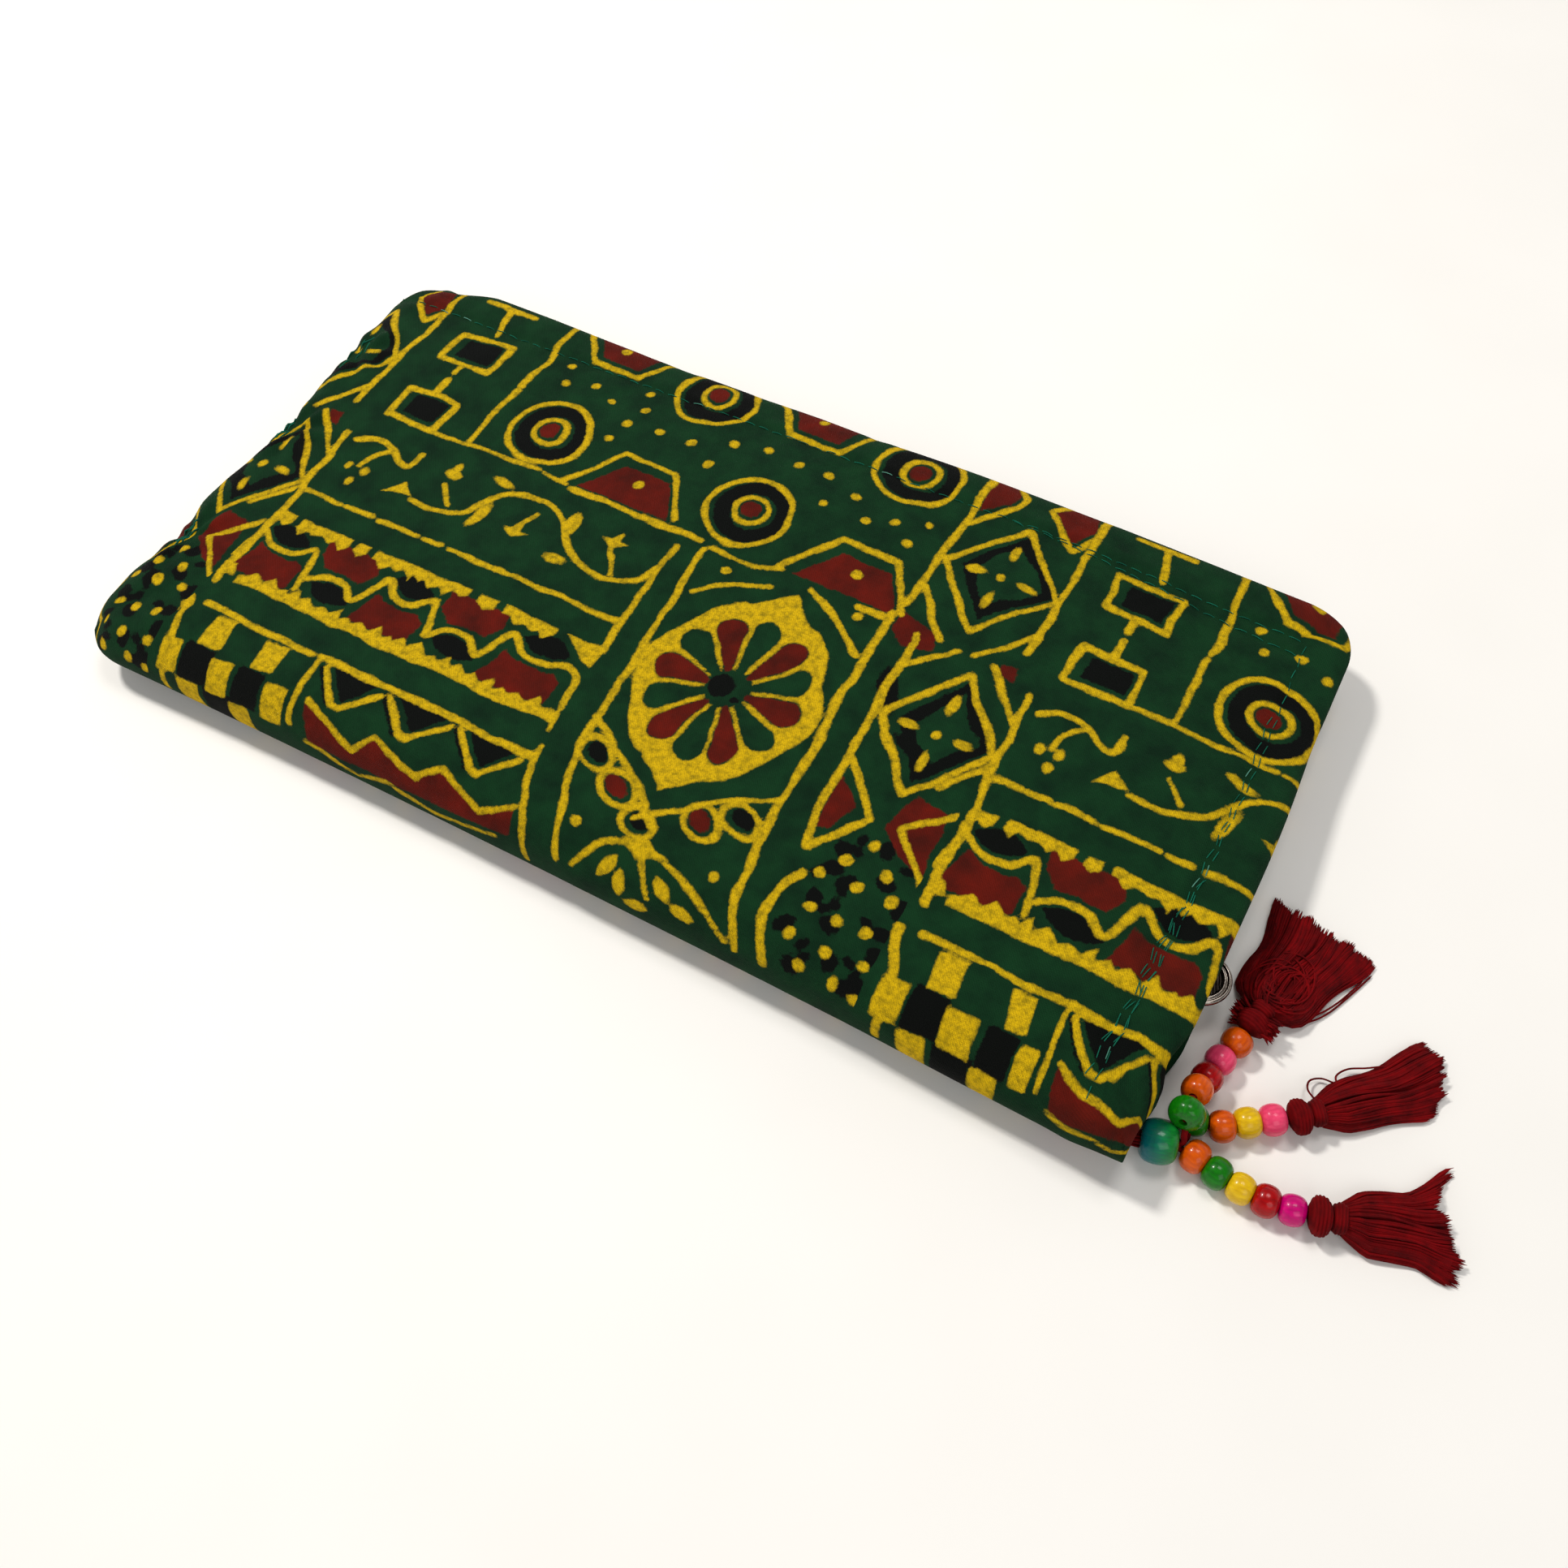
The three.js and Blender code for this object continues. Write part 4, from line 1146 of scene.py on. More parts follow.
def draw_print(x, y):
    """Distances to the yellow, maroon and black marks at points of the cloth, in millimetres."""
    repeat = np.floor((x - TILE_START) / TILE_LENGTH)
    a = x - repeat * TILE_LENGTH
    b = y - repeat * np.where(repeat > 0, TILE_SLIP, FIRST_SLIP)
    b = (b - TILE_LOW) % TILE_WIDTH + TILE_LOW
    a = a + (repeat > 0) * 5.0 * smooth(-62, -50, a) * smooth(-30, -40, b)
    a = a + 0.42 * noise(x, y, 5.0, 1) + 0.16 * noise(x, y, 1.7, 2)
    b = b + 0.42 * noise(x, y, 5.5, 3) + 0.16 * noise(x, y, 1.6, 4)
    yellow, maroon, black = Ink(a, b), Ink(a + 0.35, b - 0.3), Ink(a - 0.3, b - 0.35)
    for draw in (draw_squares, draw_rings, draw_half_hexagons, draw_dots, draw_vine, draw_wave_band,
            draw_checks, draw_triangles, draw_medallion, draw_medallion_frame, draw_diamonds,
            draw_dome):
        draw(yellow, maroon, black)  # each takes the three inks, whether or not it uses them all
    pressure = 0.13 * noise(x, y, 3.2, 6)
    return np.clip(np.stack([yellow.far + pressure, maroon.far, black.far], -1), -2, 2)


# ---- The padded panels ------------------------------------------------------------------------
BAND = 8.0
CORNER = 10.0
CREST = TOP - 0.6
MIDDLE = TOP / 2
ROLL_CLOTH = 23.0
ROLL_LOW = 0.06
TUCK_CLOTH = 3.0
LIP_CLOTH = 17.0
LIP = [(8, CREST), (6, CREST + 0.02), (4, CREST - 0.04), (2.4, CREST - 0.25), (1.1, CREST - 0.7),
       (0.35, CREST - 1.25), (0.05, CREST - 1.9), (0.35, CREST - 2.5), (1.1, CREST - 2.85),
       (2.3, CREST - 2.95), (4.0, CREST - 2.95), (6.0, CREST - 2.85), (9.2, CREST - 2.7)]
PINCH = [(8, CREST), (6, CREST - 0.15), (4, CREST - 0.7), (2.4, CREST - 1.7), (1.2, CREST - 3.0),
    (0.5, CREST - 4.6), (0.5, CREST - 5.6), (1.2, MIDDLE + 0.3), (2.2, MIDDLE + 0.05),
    (3.2, MIDDLE)]
STITCH_BACK = 8.9
STITCH_RIGHT = 7.4
PUFF_LIMIT = 1.0
SIM_FRAMES = 20
SIM_PRESSURE = 4
SIM_MASS = 0.15
SIM_TENSION, SIM_SHEAR, SIM_BENDING = 12, 5, 0.04
SIM_GROWTH = 0.012
HELD_BESIDE_STITCHES = 1.3


def roll_profile():
    turn = np.linspace(0, math.pi, 40)
    middle = (CREST + ROLL_LOW) / 2
    return np.stack([BAND - BAND * np.sin(turn), middle + (CREST - middle) * np.cos(turn)], 1)


def under_profile(kind):
    """The lower panel's edge: the upper one's turned over, or tucked under the roll."""
    if kind == "roll":
        return np.array([(8, 0.0), (7.2, 0.25), (6.4, 0.55), (5.8, 0.9), (5.2, 1.3)])
    points = np.array(LIP if kind == "lip" else PINCH, float)
    points[:, 1] = TOP - points[:, 1]
    points[:2, 1] = 0.0, 0.05
    return points


def profiles(lower):
    if lower:
        rows = [under_profile("roll"), under_profile("pinch"), under_profile("lip")]
    else:
        rows = [roll_profile(), np.array(PINCH, float), np.array(LIP, float)]
    return [curve(r, 200) for r in rows]


def grid_axis(half, inner, band):
    """Along one axis, each grid line's place, its side, and its way through the edge band."""
    inside = np.linspace(-half + BAND, half - BAND, inner + 1)
    way = np.linspace(0, 1, band + 1)[1:]
    where = np.r_[np.full(band, inside[0]), inside, np.full(band, inside[-1])]
    progress = np.r_[way[::-1], np.zeros(inner + 1), way]
    side = np.r_[-np.ones(band), np.sign(inside), np.ones(band)]
    reach = np.clip((CORNER - (half - np.abs(where))) / CORNER, 0, None)
    reach = np.where(progress > 0, 1 - BAND / CORNER + BAND / CORNER * progress, reach)
    return where, side, progress, reach


def panel_grid(inner_x, inner_y, band, lower=False):
    """One panel's outer cloth, its rows along Y, and each point's place on the flat cloth."""
    wx, sx, px, rx = grid_axis(HALF_X, inner_x, band)
    wy, sy, py, ry = grid_axis(HALF_Y, inner_y, band)
    X, Y = np.meshgrid(wx, wy)
    SX, SY = np.meshgrid(sx, sy)
    RX, RY = np.meshgrid(rx, ry)
    rho = np.maximum(RX, RY)
    safe = np.maximum(rho, 1e-9)
    a, b = RX / safe, RY / safe
    sharp = (((SX > 0) & (SY < 0)) * 0.97 + ((SX < 0) & (SY > 0)) * 0.12 + ((SX > 0) & (SY > 0))
        * 0.1)
    dir_x = a * (sharp + (1 - sharp) * np.sqrt(1 - b * b / 2))
    dir_y = b * (sharp + (1 - sharp) * np.sqrt(1 - a * a / 2))
    start = 1 - BAND / CORNER
    way = np.clip((rho - start) / (1 - start), 0, 1)
    share = RX / np.maximum(RX + RY, 1e-9)
    at_back_left = 5 * (1 - 2 * (1 - share))
    at_front_right = 5 * (1 - 2 * share)
    # How far it is along the edge until the roll gives way to the zip; negative past that.
    before_zip = np.full(X.shape, 99.0)
    left, right = (SX < 0) & (RX > 0), (SX > 0) & (RX > 0)
    front, back = (SY < 0) & (RY > 0), (SY > 0) & (RY > 0)
    before_zip = np.where(left & ~back & ~front, HALF_Y - CORNER - Y + 5, before_zip)
    before_zip = np.where(back & ~left, -(X + HALF_X - CORNER) - 5, before_zip)
    before_zip = np.where(back & left, at_back_left, before_zip)
    before_zip = np.where(front & ~right, HALF_X - CORNER - X + 5, before_zip)
    before_zip = np.where(right & ~front, -(Y + HALF_Y - CORNER) - 5, before_zip)
    before_zip = np.where(right & front, at_front_right, before_zip)
    before_zip = np.where(right & back, -99.0, before_zip)
    to_pinch = smooth(5, -5, before_zip)
    to_lip = smooth(-6, -17, before_zip)
    table = profiles(lower)
    steps = np.linspace(0, 1, 200)
    inset = [np.interp(way, steps, t[:, 0]) for t in table]
    high = [np.interp(way, steps, t[:, 1]) for t in table]

    def mixed(v):
        return (v[0] * (1 - to_pinch) + v[1] * to_pinch) * (1 - to_lip) + v[2] * to_lip

    out = np.where(way > 0, CORNER - mixed(inset), CORNER * rho)
    inner_place = [np.clip(X, -HALF_X + CORNER, HALF_X - CORNER),
        np.clip(Y, -HALF_Y + CORNER, HALF_Y - CORNER)]
    points = np.stack([inner_place[0] + SX * out * dir_x, inner_place[1] + SY * out * dir_y,
        mixed(high)], -1)
    rolled = TUCK_CLOTH if lower else ROLL_CLOTH
    long_x = np.where(SX < 0, rolled, LIP_CLOTH)
    long_y = np.where(SY < 0, rolled, LIP_CLOTH)
    PX, PY = np.meshgrid(px, py)
    cloth_x = X + SX * long_x * PX
    cloth_y = Y + SY * long_y * PY
    if lower:
        cloth_y = -(HALF_Y - BAND + ROLL_CLOTH) - (Y + HALF_Y - BAND) - SY * long_y * PY
    return points, np.stack([cloth_x, cloth_y, np.zeros_like(X)], -1)


def stitch_lines():
    """The topstitching in plan: along the back, and down the right end."""
    back = [(-93.5, HALF_Y - STITCH_BACK + 0.2), (-60, HALF_Y - STITCH_BACK - 0.1),
            (0, HALF_Y - STITCH_BACK + 0.1), (50, HALF_Y - STITCH_BACK - 0.2),
            (92.6, HALF_Y - STITCH_BACK - 0.3)]
    second = [(38, HALF_Y - STITCH_BACK - 0.3), (60, HALF_Y - STITCH_BACK - 1.5),
        (76, HALF_Y - STITCH_BACK - 2.6), (93.0, HALF_Y - STITCH_BACK - 3.6)]
    right = [(HALF_X - STITCH_RIGHT, 43.0), (HALF_X - 6.9, 20), (HALF_X - 7.3, 0),
        (HALF_X - 7.6, -20), (HALF_X - 8.4, -35), (HALF_X - 9.0, -49)]
    double = [(HALF_X - 7.9, 26), (HALF_X - 7.9, 4), (HALF_X - 8.5, -18), (HALF_X - 9.6, -36),
        (HALF_X - 10.3, -47)]
    third = [(HALF_X - 7.1, -8), (HALF_X - 9.4, -24), (HALF_X - 8.2, -34), (HALF_X - 9.4, -44)]
    fourth = [(HALF_X - 8.6, -14), (HALF_X - 8.0, -26), (HALF_X - 10.4, -40)]
    return [np.array(v, float) for v in (back, second, right, double, third, fourth)]


def distance_to(lines, x, y):
    best = np.full(x.shape, 99.0)
    for line in lines:
        for a, b in zip(line, line[1:]):
            d = b - a
            t = np.clip(((x - a[0]) * d[0] + (y - a[1]) * d[1]) / (d @ d), 0, 1)
            best = np.minimum(best, np.hypot(x - a[0] - t * d[0], y - a[1] - t * d[1]))
    return best


def bow(points):
    """The near edge and left end draw in between their corners, and the free corners settle."""
    x, y = points[..., 0], points[..., 1]
    left = smooth(-88, -98, x)
    dx = 1.7 * np.clip(1 - (y / HALF_Y) ** 2, 0, 1) * np.clip(-x / HALF_X, 0, 1) ** 2
    dx = dx + left * (1.3 * np.exp(-((y + 27) / 7) ** 2) + 0.6 * np.exp(-((y - 4) / 7) ** 2))
    dy = 1.0 * np.clip(1 - (x / HALF_X) ** 2, 0, 1) * np.clip(-y / HALF_Y, 0, 1) ** 2
    far_corner = smooth(40, 98, x) * smooth(-5, 48, y)
    tip = smooth(86, 99, x) * smooth(-40, -51, y)
    dx = dx + 0.8 * smooth(70, 98, x) - 1.5 * far_corner - 0.5 * tip
    dy = dy - 1.5 * far_corner - 0.7 * tip
    dz = -1.8 * far_corner + 0.5 * tip
    return points + np.stack([dx, dy, dz * np.clip((points[..., 2] - 8) / (CREST - 8), 0, 1)], -1)


def swollen(points, pinned):
    """Blows the coarse cloth up by simulation: how far each point moved, in millimetres."""
    rows, columns = points.shape[:2]
    sheet = new_piece("cloth_trial", points, grid_quads(rows, columns))
    group = sheet.vertex_groups.new(name="held")
    for index in np.flatnonzero(pinned.ravel()):
        group.add([int(index)], 1.0, "REPLACE")
    modifier = sheet.modifiers.new("Cloth", "CLOTH")
    settings = modifier.settings
    settings.vertex_group_mass = "held"
    settings.quality = 5
    settings.mass = SIM_MASS
    settings.tension_stiffness = settings.compression_stiffness = SIM_TENSION
    settings.shear_stiffness = SIM_SHEAR
    settings.bending_stiffness = SIM_BENDING
    settings.use_pressure = True
    settings.uniform_pressure_force = SIM_PRESSURE
    settings.shrink_min = -SIM_GROWTH
    settings.effector_weights.gravity = 0
    modifier.collision_settings.use_collision = False
    modifier.point_cache.frame_start, modifier.point_cache.frame_end = 1, SIM_FRAMES
    scene = bpy.context.scene
    for step in range(1, SIM_FRAMES + 1):
        scene.frame_set(step)
    shown = sheet.evaluated_get(bpy.context.evaluated_depsgraph_get())
    co = np.zeros(rows * columns * 3, np.float32)
    shown.data.vertices.foreach_get("co", co)
    moved = co.reshape(rows, columns, 3).astype(float) / MM - points
    scene.frame_set(1)
    bpy.data.objects.remove(sheet)
    return moved


def finer(values, times):
    """The same grid of values with each cell split, along smooth curves."""
    for axis in (0, 1):
        v = np.moveaxis(values, axis, 0)
        p = np.concatenate([2 * v[:1] - v[1:2], v, 2 * v[-1:] - v[-2:-1]])
        rows = [between(p[:-3], p[1:-2], p[2:-1], p[3:], k / times) for k in range(times)]
        mixed = np.stack(rows, 1).reshape(-1, *v.shape[1:])
        values = np.moveaxis(np.concatenate([mixed, v[-1:]]), 0, axis)
    return values


SIM_INNER_X, SIM_INNER_Y, SIM_BAND, SPLIT = 74, 36, 6, 5


def puff():
    """The swelling of the upper panel on the fine grid, in millimetres."""
    coarse, _ = panel_grid(SIM_INNER_X, SIM_INNER_Y, SIM_BAND)
    near = distance_to(stitch_lines()[:3], coarse[..., 0], coarse[..., 1])
    rim = np.zeros(coarse.shape[:2], bool)
    rim[:3] = rim[-3:] = True
    rim[:, :3] = rim[:, -3:] = True
    held = rim | (near < HELD_BESIDE_STITCHES)
    moved = swollen(coarse, held)
    size = np.linalg.norm(moved, axis=-1, keepdims=True)
    limit = PUFF_LIMIT * np.tanh(size / 3.0) / np.maximum(size, 1e-6)
    return finer(moved * limit, SPLIT)


TACKS = [(-94.6, 25.5), (-93.4, 3.0), (-93.0, -26.5)]


def surface_detail(points):
    """Small heights on the upper cloth: sewn channels, gathers beside them and soft dents."""
    x, y = points[..., 0], points[..., 1]
    near = distance_to(stitch_lines(), x, y)
    height = -0.32 * np.exp(-(near / 0.8) ** 2)
    gathers = noise(x, y * 0.35, 2.6, 31) * (np.abs(x) < 88) + noise(x * 0.35, y, 2.6,
        32) * (x > 80)
    height += 0.14 * gathers * np.exp(-near / 3.2)
    height += 0.16 * smooth(0.6, 2.4, near) * ((y > 44) | (x > 93.5))
    left = np.clip(HALF_X + x, 0, 99)
    height += 0.6 * noise(x * 0.3, y, 6.0, 33) * np.exp(-left / 7.0)
    height += 0.30 * noise(x, y, 30.0, 34) + 0.14 * noise(x, y, 11.0, 35)
    for tx, ty in TACKS:
        away = np.hypot(x - tx, y - ty)
        folds = np.sin(7 * np.arctan2(y - ty, x - tx) + tx)
        height += 0.5 * folds * np.exp(-((away
            - 5.5) / 3.5) ** 2) - 0.95 * np.exp(-(away / 3.0) ** 2)
    return height


def facing_up(points):
    """How far each point of a grid of cloth faces up: 1 on top, -1 in the turned-in hem."""
    return unit(np.cross(np.gradient(points, axis=1), np.gradient(points, axis=0)))[..., 2]


def hold(piece, hinged):
    """Ties a piece to the pouch, or, for a hinged one, bakes its place into its points."""
    if hinged:
        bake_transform(piece)
    else:
        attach(piece, "pouch")


def add_panel(name, points, cloth, quads, hinged, nodes):
    """One padded panel with its print."""
    piece = new_piece(name, points, quads, LOOKS["print_cotton"])
    store(piece, "cloth", cloth, "FLOAT_VECTOR")
    store(piece, "ink", draw_print(cloth[..., 0], cloth[..., 1]), "FLOAT_VECTOR")
    hold(piece, hinged)
    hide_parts(*nodes)


def add_top_panel():
    """The upper panel; its points come back, for the threads sewn into it."""
    swell = puff()
    points, cloth = panel_grid(SIM_INNER_X * SPLIT, SIM_INNER_Y * SPLIT, SIM_BAND * SPLIT)
    above = smooth(MIDDLE, CREST - 1.0, points[..., 2]) * smooth(-0.3, 0.1, facing_up(points))
    points = points + swell
    points[..., 2] += surface_detail(points) * above
    side_folds = 0.45 * noise(points[..., 1], points[..., 2] * 0.4, 6.0, 41)
    points[..., 0] += side_folds * smooth(-94, -99, points[..., 0])
    points = bow(points)
    add_panel("pouch_upper", points, cloth, grid_quads(*points.shape[:2]), True,
        ["cover_top_fixed", "padding_top_fixed", "cover_top_flap", "padding_top_flap", "front_fold",
        "left_end_seam"])
    return points


def add_bottom_panel():
    points, cloth = panel_grid(150, 72, 16, lower=True)
    x, y = points[..., 0], points[..., 1]
    rise = 0.10 * (1 + noise(x, y, 24.0, 51)) * smooth(HALF_X - 2, HALF_X - 14, np.abs(x))
    points[..., 2] += rise * (points[..., 2] < 1.0)
    points = bow(points)
    add_panel("pouch_lower", points, cloth, grid_quads(*points.shape[:2])[:, ::-1], False,
        ["cover_bottom", "padding_bottom"])


LINING_INSET = 3.0
LINING_AT_ZIP = np.array([9.0, 7.9])
LINING_CORNER = 7.0
LINING_DEPTH = 2.8


def lining_points(height, seed):
    """A sheet inside the pouch, softly wrinkled, from the folded edges to the zip tape."""
    low = np.array([-HALF_X, -HALF_Y]) + LINING_INSET
    high = np.array([HALF_X, HALF_Y]) - LINING_AT_ZIP
    middle, half = (low + high) / 2, (high - low) / 2
    x, y = np.meshgrid(np.linspace(-1, 1, 130), np.linspace(-1, 1, 70))
    cut_x, cut_y = [np.clip(1 - (1 - np.abs(v)) * size / LINING_CORNER, 0, 1) for v,
        size in zip((x, y), half)]
    px = middle[0] + x * half[0] - np.sign(x) * LINING_CORNER * cut_x * (1
        - np.sqrt(1 - cut_y ** 2 / 2))
    py = middle[1] + y * half[1] - np.sign(y) * LINING_CORNER * cut_y * (1
        - np.sqrt(1 - cut_x ** 2 / 2))
    wrinkle = 0.14 * noise(px, py, 18.0, seed) + 0.06 * noise(px, py, 6.0, seed + 1)
    return bow(np.stack([px, py, height + wrinkle], -1))


def add_lining(name, height, seed, hinged, nodes):
    points = lining_points(height, seed)
    piece = new_piece(name, points, grid_quads(*points.shape[:2]), LOOKS["lining_cotton"])
    hold(piece, hinged)
    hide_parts(*nodes)


# ---- Topstitching and tacks -------------------------------------------------------------------
STITCH_LENGTH = 2.5
STITCH_GAP = 0.35
STITCH_RADIUS = 0.085
STITCH_ARCH = np.array([-0.16, 0.05, 0.14, 0.17, 0.14, 0.05, -0.16])
STITCH_LEANS = [0.0, 0.06, 0.04, 0.12, 0.2, 0.15]
PALE_SHARE = 0.07
TACK_RADIUS = 0.15
TACK_HALF = 1.6
TACK_ARCH = np.array([-0.16, 0.03, 0.1, 0.12, 0.1, 0.03, -0.16])


def heights_at(surface, x, y):
    """The height of the upper cloth over points in plan."""
    cloth = surface[(surface[..., 2] > MIDDLE + 1) & (facing_up(surface) > 0)]
    found = []
    for px, py in zip(x, y):
        away = (cloth[:, 0] - px) ** 2 + (cloth[:, 1] - py) ** 2
        found.append(cloth[np.argmin(away), 2])
    return np.array(found)


def laid_on(surface, flat, arch):
    """The same threads lying on the cloth, each arched over it."""
    z = heights_at(surface, flat[..., 0].ravel(), flat[..., 1].ravel())
    flat[..., 2] = z.reshape(flat.shape[:2]) + arch
    return flat


def sew(name, paths, radius, look, rng):
    """Threads of seven points each, as one piece on the cloth."""
    points, quads = tubes(paths, radius * ends_closed(7)[None], 6)
    piece = thread_piece(name, points, quads, np.repeat(rng.random(len(paths)), 7 * 6), look)
    hold(piece, True)


def stitch_paths(surface, line, rng, zigzag):
    """Short threads that dip into the cloth at both ends, one after another along a line."""
    path = curve(line, 400)
    total = line_length(path)
    along = np.linspace(0, total, 400)
    rows = []
    for i, start in enumerate(np.arange(0.5, total - STITCH_LENGTH, STITCH_LENGTH + STITCH_GAP)):
        t = start + np.linspace(0, STITCH_LENGTH, 7)
        x, y = np.interp(t, along, path[:, 0]), np.interp(t, along, path[:, 1])
        ahead = unit(np.array([x[-1] - x[0], y[-1] - y[0]]))
        lean = (0.1 + zigzag) * (1 if i % 2 else -1) * np.linspace(-1, 1, 7) + rng.normal(0, 0.06)
        rows.append(np.stack([x - ahead[1] * lean, y + ahead[0] * lean, np.full(7, CREST)], 1))
    return laid_on(surface, bow(np.array(rows)), STITCH_ARCH)


def add_stitches(surface):
    rng = np.random.default_rng(9)
    dark, pale = [], []
    for line, lean in zip(stitch_lines(), STITCH_LEANS):
        paths = stitch_paths(surface, line, rng, lean)
        light = rng.random(len(paths)) < PALE_SHARE
        dark.append(paths[~light])
        pale.append(paths[light])
    sew("topstitch", np.concatenate(dark), STITCH_RADIUS, "teal_thread", rng)
    sew("topstitch_pale", np.concatenate(pale), STITCH_RADIUS, "pale_thread", rng)


def add_tacks(surface):
    """Small hand tacks of teal thread that hold the turned-in left end."""
    rng = np.random.default_rng(12)
    paths = []
    t = np.linspace(-TACK_HALF, TACK_HALF, 7)
    for tx, ty in TACKS:
        for _ in range(6):
            x, y = tx + rng.normal(0, 0.8), ty + rng.normal(0, 2.4)
            turn = rng.normal(1.45, 0.35)
            paths.append(np.stack([x + t * math.cos(turn), y + t * math.sin(turn), np.zeros(7)], 1))
    sew("end_tacks", laid_on(surface, np.array(paths), TACK_ARCH), TACK_RADIUS, "teal_thread", rng)


# ---- Zip --------------------------------------------------------------------------------------
ZIP_CORNER = 8.0
COIL_PITCH = 1.25
COIL_WIRE = 0.24
COIL_WIDE, COIL_HIGH = 0.68, 0.92
COIL_OFF_MIDDLE = 1.0
TAPE_LOWER, TAPE_UPPER = (2.9, 5.2), (11.1, 8.8)
TAPE_SECTION = [(-0.22, 0.0), (0.22, 0.0), (0.24, 0.75), (0.42, 0.9), (0.24, 1.0), (-0.24, 1.0),
    (-0.42, 0.9), (-0.24, 0.75)]


def chain_path(front_y, left_x, count):
    """The zip's line in plan: up the right end, round the corner, along the back."""
    turn = np.linspace(0, math.pi / 2, 14)
    bend = np.stack([CHAIN_X - ZIP_CORNER + ZIP_CORNER * np.cos(turn), CHAIN_Y - ZIP_CORNER
        + ZIP_CORNER * np.sin(turn)], 1)
    line = np.vstack([[(CHAIN_X, front_y)], bend, [(left_x, CHAIN_Y)]])
    path, s = evenly(line, count)
    ahead = unit(np.gradient(path, axis=0))
    return path, np.stack([ahead[:, 1], -ahead[:, 0]], 1), s


def add_coil(name, node, centre_z, phase, body):
    low = low_mm(node)
    length = chain_path(low[1], low[0], 10)[2][-1]
    path, out, s = chain_path(low[1], low[0], int(length / COIL_PITCH * 9))
    turn = 2 * math.pi * s / COIL_PITCH + phase
    wide, z = COIL_WIDE * np.cos(turn), centre_z + COIL_HIGH * np.sin(turn)
    wire = np.column_stack([path + out * wide[:, None], z])
    ref = np.column_stack([out * np.cos(turn)[:, None], np.sin(turn)])
    points, quads = tubes(wire[None], COIL_WIRE, 6, up=ref[None])
    fit(new_piece(name, points, quads, LOOKS["zip_coil"]), body, "zip_coil", node)


def add_tape(name, node, low_z, high_z, body):
    """A woven strip on edge, with a rounded beading along the coil side."""
    low = low_mm(node)
    path, out, s = chain_path(low[1], low[0], 260)
    wave = 0.06 * np.sin(s * 1.9)
    rows = []
    for side, level in TAPE_SECTION:
        z = np.full(len(path), low_z + (high_z - low_z) * level)
        rows.append(np.column_stack([path + out * (side + wave)[:, None], z]))
    quads = grid_quads(len(path), len(TAPE_SECTION), wrap=True)
    fit(new_piece(name, np.stack(rows, 1), quads, LOOKS["zip_tape"]), body, "zip_tape", node)


def add_zip():
    add_tape("zip_band_lower", "zip_tape_lower", *TAPE_LOWER, "pouch")
    add_tape("zip_band_upper", "zip_tape_upper", *TAPE_UPPER, "flap")
    add_coil("zip_teeth_lower", "zip_coil_lower", MIDDLE - COIL_OFF_MIDDLE, 0.0, "pouch")
    add_coil("zip_teeth_upper", "zip_coil_upper", MIDDLE + COIL_OFF_MIDDLE, math.pi, "flap")


# ---- Slider and pull --------------------------------------------------------------------------
BAIL_WIRE = 0.38
BAIL_CORNER = 0.8
DISC_RADIUS = 4.4
DISC_RIM = [(3.05, 0.46), (3.3, 0.6), (3.5, 0.46), (3.62, 0.22), (3.74, 0.44), (3.98, 0.58),
    (4.24, 0.4)]
PLATE_RADIUS, PLATE_LOW, PLATE_TOP = 2.85, -0.38, 0.12
RIBBED_RADIUS = 2.6
EYE_RADIUS = 0.72
SLOT_INNER, SLOT_OUTER = 2.15, 3.0
SLOT_START, SLOT_END = 12, 74
BEVELS = {"slider_body": 0.22, "slider_bridge": 0.25, "bottom_stop": 0.25, "top_stop_lower": 0.25,
    "top_stop_upper": 0.25}


def bevel(node, width_mm):
    obj = frame["nodes"][node]
    made = obj.modifiers.new("edges", "BEVEL")
    made.width = width_mm * MM
    made.segments = 3
    made.limit_method = "ANGLE"
    made.angle_limit = math.radians(40)
    obj.data.materials.clear()
    obj.data.materials.append(LOOKS["nickel"])


def joint_place(name):
    found = next(j for j in frame["joints"] if j["name"] == name)
    return np.array(found["pos_m"]) / MM


def add_bail():
    """A flat loop of wire that stands on edge between the slider's bridge and the pull."""
    near, far = joint_place("bail_swing"), joint_place("pull_swing")
    along = unit((far - near) * [1, 1, 0])
    low, high = low_mm("pull_bail")[2] + 0.4, high_mm("pull_bail")[2] - 0.4
    reach = np.linalg.norm((far - near)[:2])
    flat = []
    corners = [(0, low, 1, 1, math.pi), (reach, low, -1, 1, 1.5 * math.pi),
        (reach, high, -1, -1, 0), (0, high, 1, -1, 0.5 * math.pi)]
    for x, z, side_x, side_z, start in corners:
        for k in range(7):
            a = start + k / 6 * math.pi / 2
            flat.append((x + side_x * BAIL_CORNER + BAIL_CORNER * math.cos(a),
                z + side_z * BAIL_CORNER + BAIL_CORNER * math.sin(a)))
    flat = np.array(flat + flat[:1])
    path = near * [1, 1, 0] + flat[:, :1] * along + flat[:, 1:] * UP
    aside = np.cross(UP, along)
    sides = 12
    ahead = unit(np.vstack([path[1:], path[1:2]]) - np.vstack([path[-2:-1], path[:-1]]))
    over = np.cross(ahead, aside)
    turn = ring_turns(sides)
    ring = path[:, None] + BAIL_WIRE * (aside * np.cos(turn)[:, None] + over[:, None]
        * np.sin(turn)[:, None])
    piece = new_piece("pull_link", ring, grid_quads(len(path), sides, wrap=True), LOOKS["nickel"])
    fit(piece, "bail", "nickel", "pull_bail")


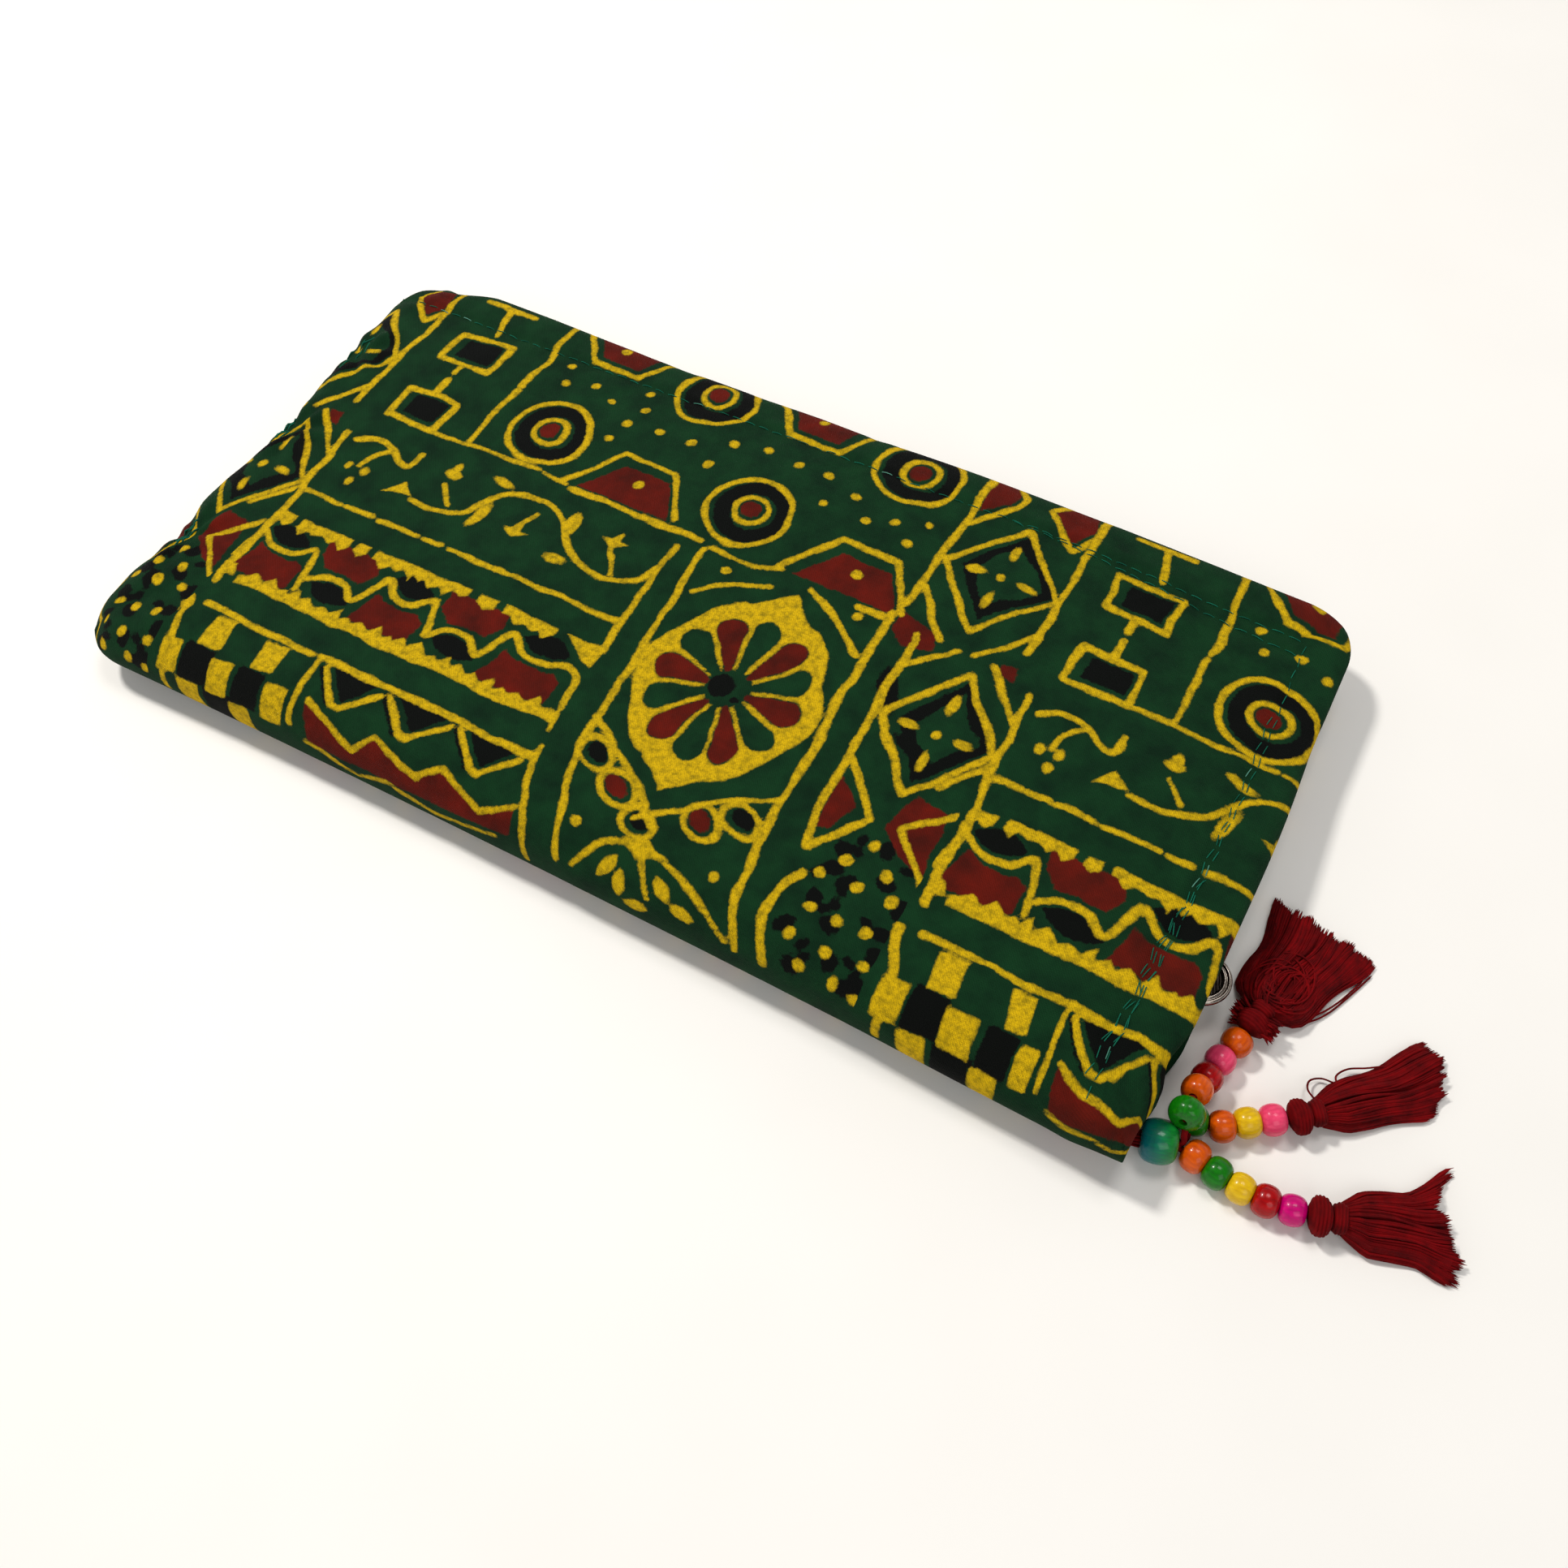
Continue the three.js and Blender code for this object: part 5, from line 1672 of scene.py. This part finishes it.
def arc_block(name, inner, outer, start, end, low, high):
    """A block bounded by two arcs about Z: used to cut the pull's slots."""
    turn = np.radians(np.linspace(start, end, 14))
    ring = []
    for r, z in ((inner, low), (outer, low), (outer, high), (inner, high)):
        ring.append(np.stack([r * np.cos(turn), r * np.sin(turn), np.full(14, z)], 1))
    points = np.stack(ring, 1)
    quads = grid_quads(14, 4, wrap=True).tolist() + [[3, 2, 1, 0], [52, 53, 54, 55]]
    return new_piece(name, points, quads, flat=True)


def cut_away(obj, cutters):
    """Cuts each block out of obj for good."""
    for cutter in cutters:
        made = obj.modifiers.new("cut", "BOOLEAN")
        made.object = cutter
        made.operation = "DIFFERENCE"
        made.solver = "EXACT"
    done = bpy.data.meshes.new_from_object(obj.evaluated_get(bpy.context.evaluated_depsgraph_get()))
    obj.modifiers.clear()
    obj.data = done
    for cutter in cutters:
        bpy.data.objects.remove(cutter)


def add_disc():
    """The round pull: a polished rim, a ribbed plate, an eye, two slots and a tab."""
    centre = middle_mm("pull_disc")
    eye = joint_place("pull_swing") - centre
    under_rim = [(r, -z) for r, z in DISC_RIM]
    profile = [(0.001, PLATE_LOW), (PLATE_RADIUS, PLATE_LOW), *under_rim, (DISC_RADIUS, -0.1),
        (DISC_RADIUS, 0.1), *DISC_RIM[::-1], (PLATE_RADIUS, PLATE_TOP), (0.001, PLATE_TOP),
        (0.001, PLATE_LOW)]
    disc = new_piece("pull_round", *lathe(profile, 64), LOOKS["nickel"])
    disc.data.materials.append(LOOKS["nickel_ribbed"])
    hole = arc_block("hole", 0.0001, EYE_RADIUS, 0, 359.9, -2, 2)
    hole.location = (eye[0] * MM, eye[1] * MM, 0)
    away = math.degrees(math.atan2(eye[1], eye[0])) + 180
    slots = [arc_block("slot", SLOT_INNER, SLOT_OUTER, away + start, away + end, -2, 2) for start,
        end in ((SLOT_START, SLOT_END), (-SLOT_END, -SLOT_START))]
    bpy.context.view_layer.update()
    cut_away(disc, [hole, *slots])
    for polygon in disc.data.polygons:
        from_middle = math.hypot(*(polygon.center / MM)[:2])
        on_plate = abs(polygon.normal.z) > 0.9 and from_middle < 2.9
        polygon.material_index = 1 if on_plate and from_middle < RIBBED_RADIUS else 0
        polygon.use_smooth = not on_plate
    disc.location = Vector(centre) * MM
    fit(disc, "pull", "nickel", "pull_disc")
    tab = arc_block("pull_tab", 1.9, 3.3, -9, 9, -0.3, 0.42)
    tab.data.materials.append(LOOKS["nickel"])
    edge = tab.modifiers.new("edges", "BEVEL")
    edge.width, edge.segments = 0.12 * MM, 2
    turned = Matrix.Rotation(math.radians(away), 4, "Z")
    tab.matrix_world = Matrix.Translation(Vector(centre) * MM) @ turned
    fit(tab, "pull", "nickel")


def add_slider():
    for node, width in BEVELS.items():
        bevel(node, width)
    add_bail()
    add_disc()


# ---- Floor and light --------------------------------------------------------------------------
FLOOR_HALF = 5000.0
FLOOR_Z = -0.02


def add_floor():
    points = [(x, y, FLOOR_Z) for x, y in box_points((-FLOOR_HALF, -FLOOR_HALF),
        (FLOOR_HALF, FLOOR_HALF))]
    look = Look("floor", Roughness=0.6)
    speck = look.noise(look.here(), 0.02, 2)
    look.paint(Base_Color=look.mix(speck, colour(243, 239, 233), colour(236, 232, 225)))
    floor = new_piece("floor", points, [[0, 1, 2, 3]], look.material, flat=True)


LAMPS = {
    "key": {"where": (-0.5, 0.12, 0.82), "size": 0.12, "watts": 6.4, "tint": (1.0, 0.985, 0.955)},
    "fill": {"where": (0.6, -0.6, 0.8), "size": 0.6, "watts": 2.6, "tint": (0.97, 0.98, 1.0)},
    "top": {"where": (0.1, 0.3, 1.0), "size": 0.3, "watts": 2.4, "tint": (1.0, 1.0, 1.0)},
}
SKY_TINT = (0.97, 0.98, 1.0, 1.0)
SKY_LOW, SKY_HIGH = 0.05, 0.7
SKY_BRIGHT_LOW, SKY_BRIGHT_HIGH = 0.95, 0.22


def add_light(name, where, size, watts, tint):
    data = bpy.data.lights.new(name, "AREA")
    data.size = size
    data.energy = watts
    data.color = tint
    lamp = bpy.data.objects.new(name, data)
    bpy.context.scene.collection.objects.link(lamp)
    lamp.location = where
    lamp.rotation_mode = "QUATERNION"
    lamp.rotation_quaternion = (Vector((0.02, 0, 0)) - Vector(where)).to_track_quat("-Z", "Y")


def add_lights():
    for name, facts in LAMPS.items():
        add_light(name, **facts)
    world = bpy.data.worlds.new("studio")
    world.use_nodes = True
    tree = world.node_tree
    where = tree.nodes.new("ShaderNodeTexCoord")
    parts = tree.nodes.new("ShaderNodeSeparateXYZ")
    fade = tree.nodes.new("ShaderNodeMapRange")
    tree.links.new(where.outputs["Generated"], parts.inputs[0])
    tree.links.new(parts.outputs["Z"], fade.inputs[0])
    levels = (SKY_LOW, SKY_HIGH, SKY_BRIGHT_LOW, SKY_BRIGHT_HIGH)
    for socket, value in zip(fade.inputs[1:5], levels):
        socket.default_value = value
    sky = tree.nodes["Background"]
    tree.links.new(fade.outputs[0], sky.inputs[1])
    sky.inputs[0].default_value = SKY_TINT
    bpy.context.scene.world = world
    bpy.context.scene.view_settings.view_transform = "Standard"


# ---- The whole object -------------------------------------------------------------------------
add_camera()
cords = add_cords()
beads = add_beads()
tassels = add_tassels()
add_bundle()
upper = add_top_panel()
add_bottom_panel()
add_lining("lining_upper", CREST - LINING_DEPTH, 61, hinged=True,
    nodes=["lining_top_fixed", "lining_top_flap"])
add_lining("lining_lower", LINING_DEPTH, 63, hinged=False, nodes=["lining_bottom"])
add_stitches(upper)
add_tacks(upper)
add_zip()
add_slider()
add_floor()
add_lights()
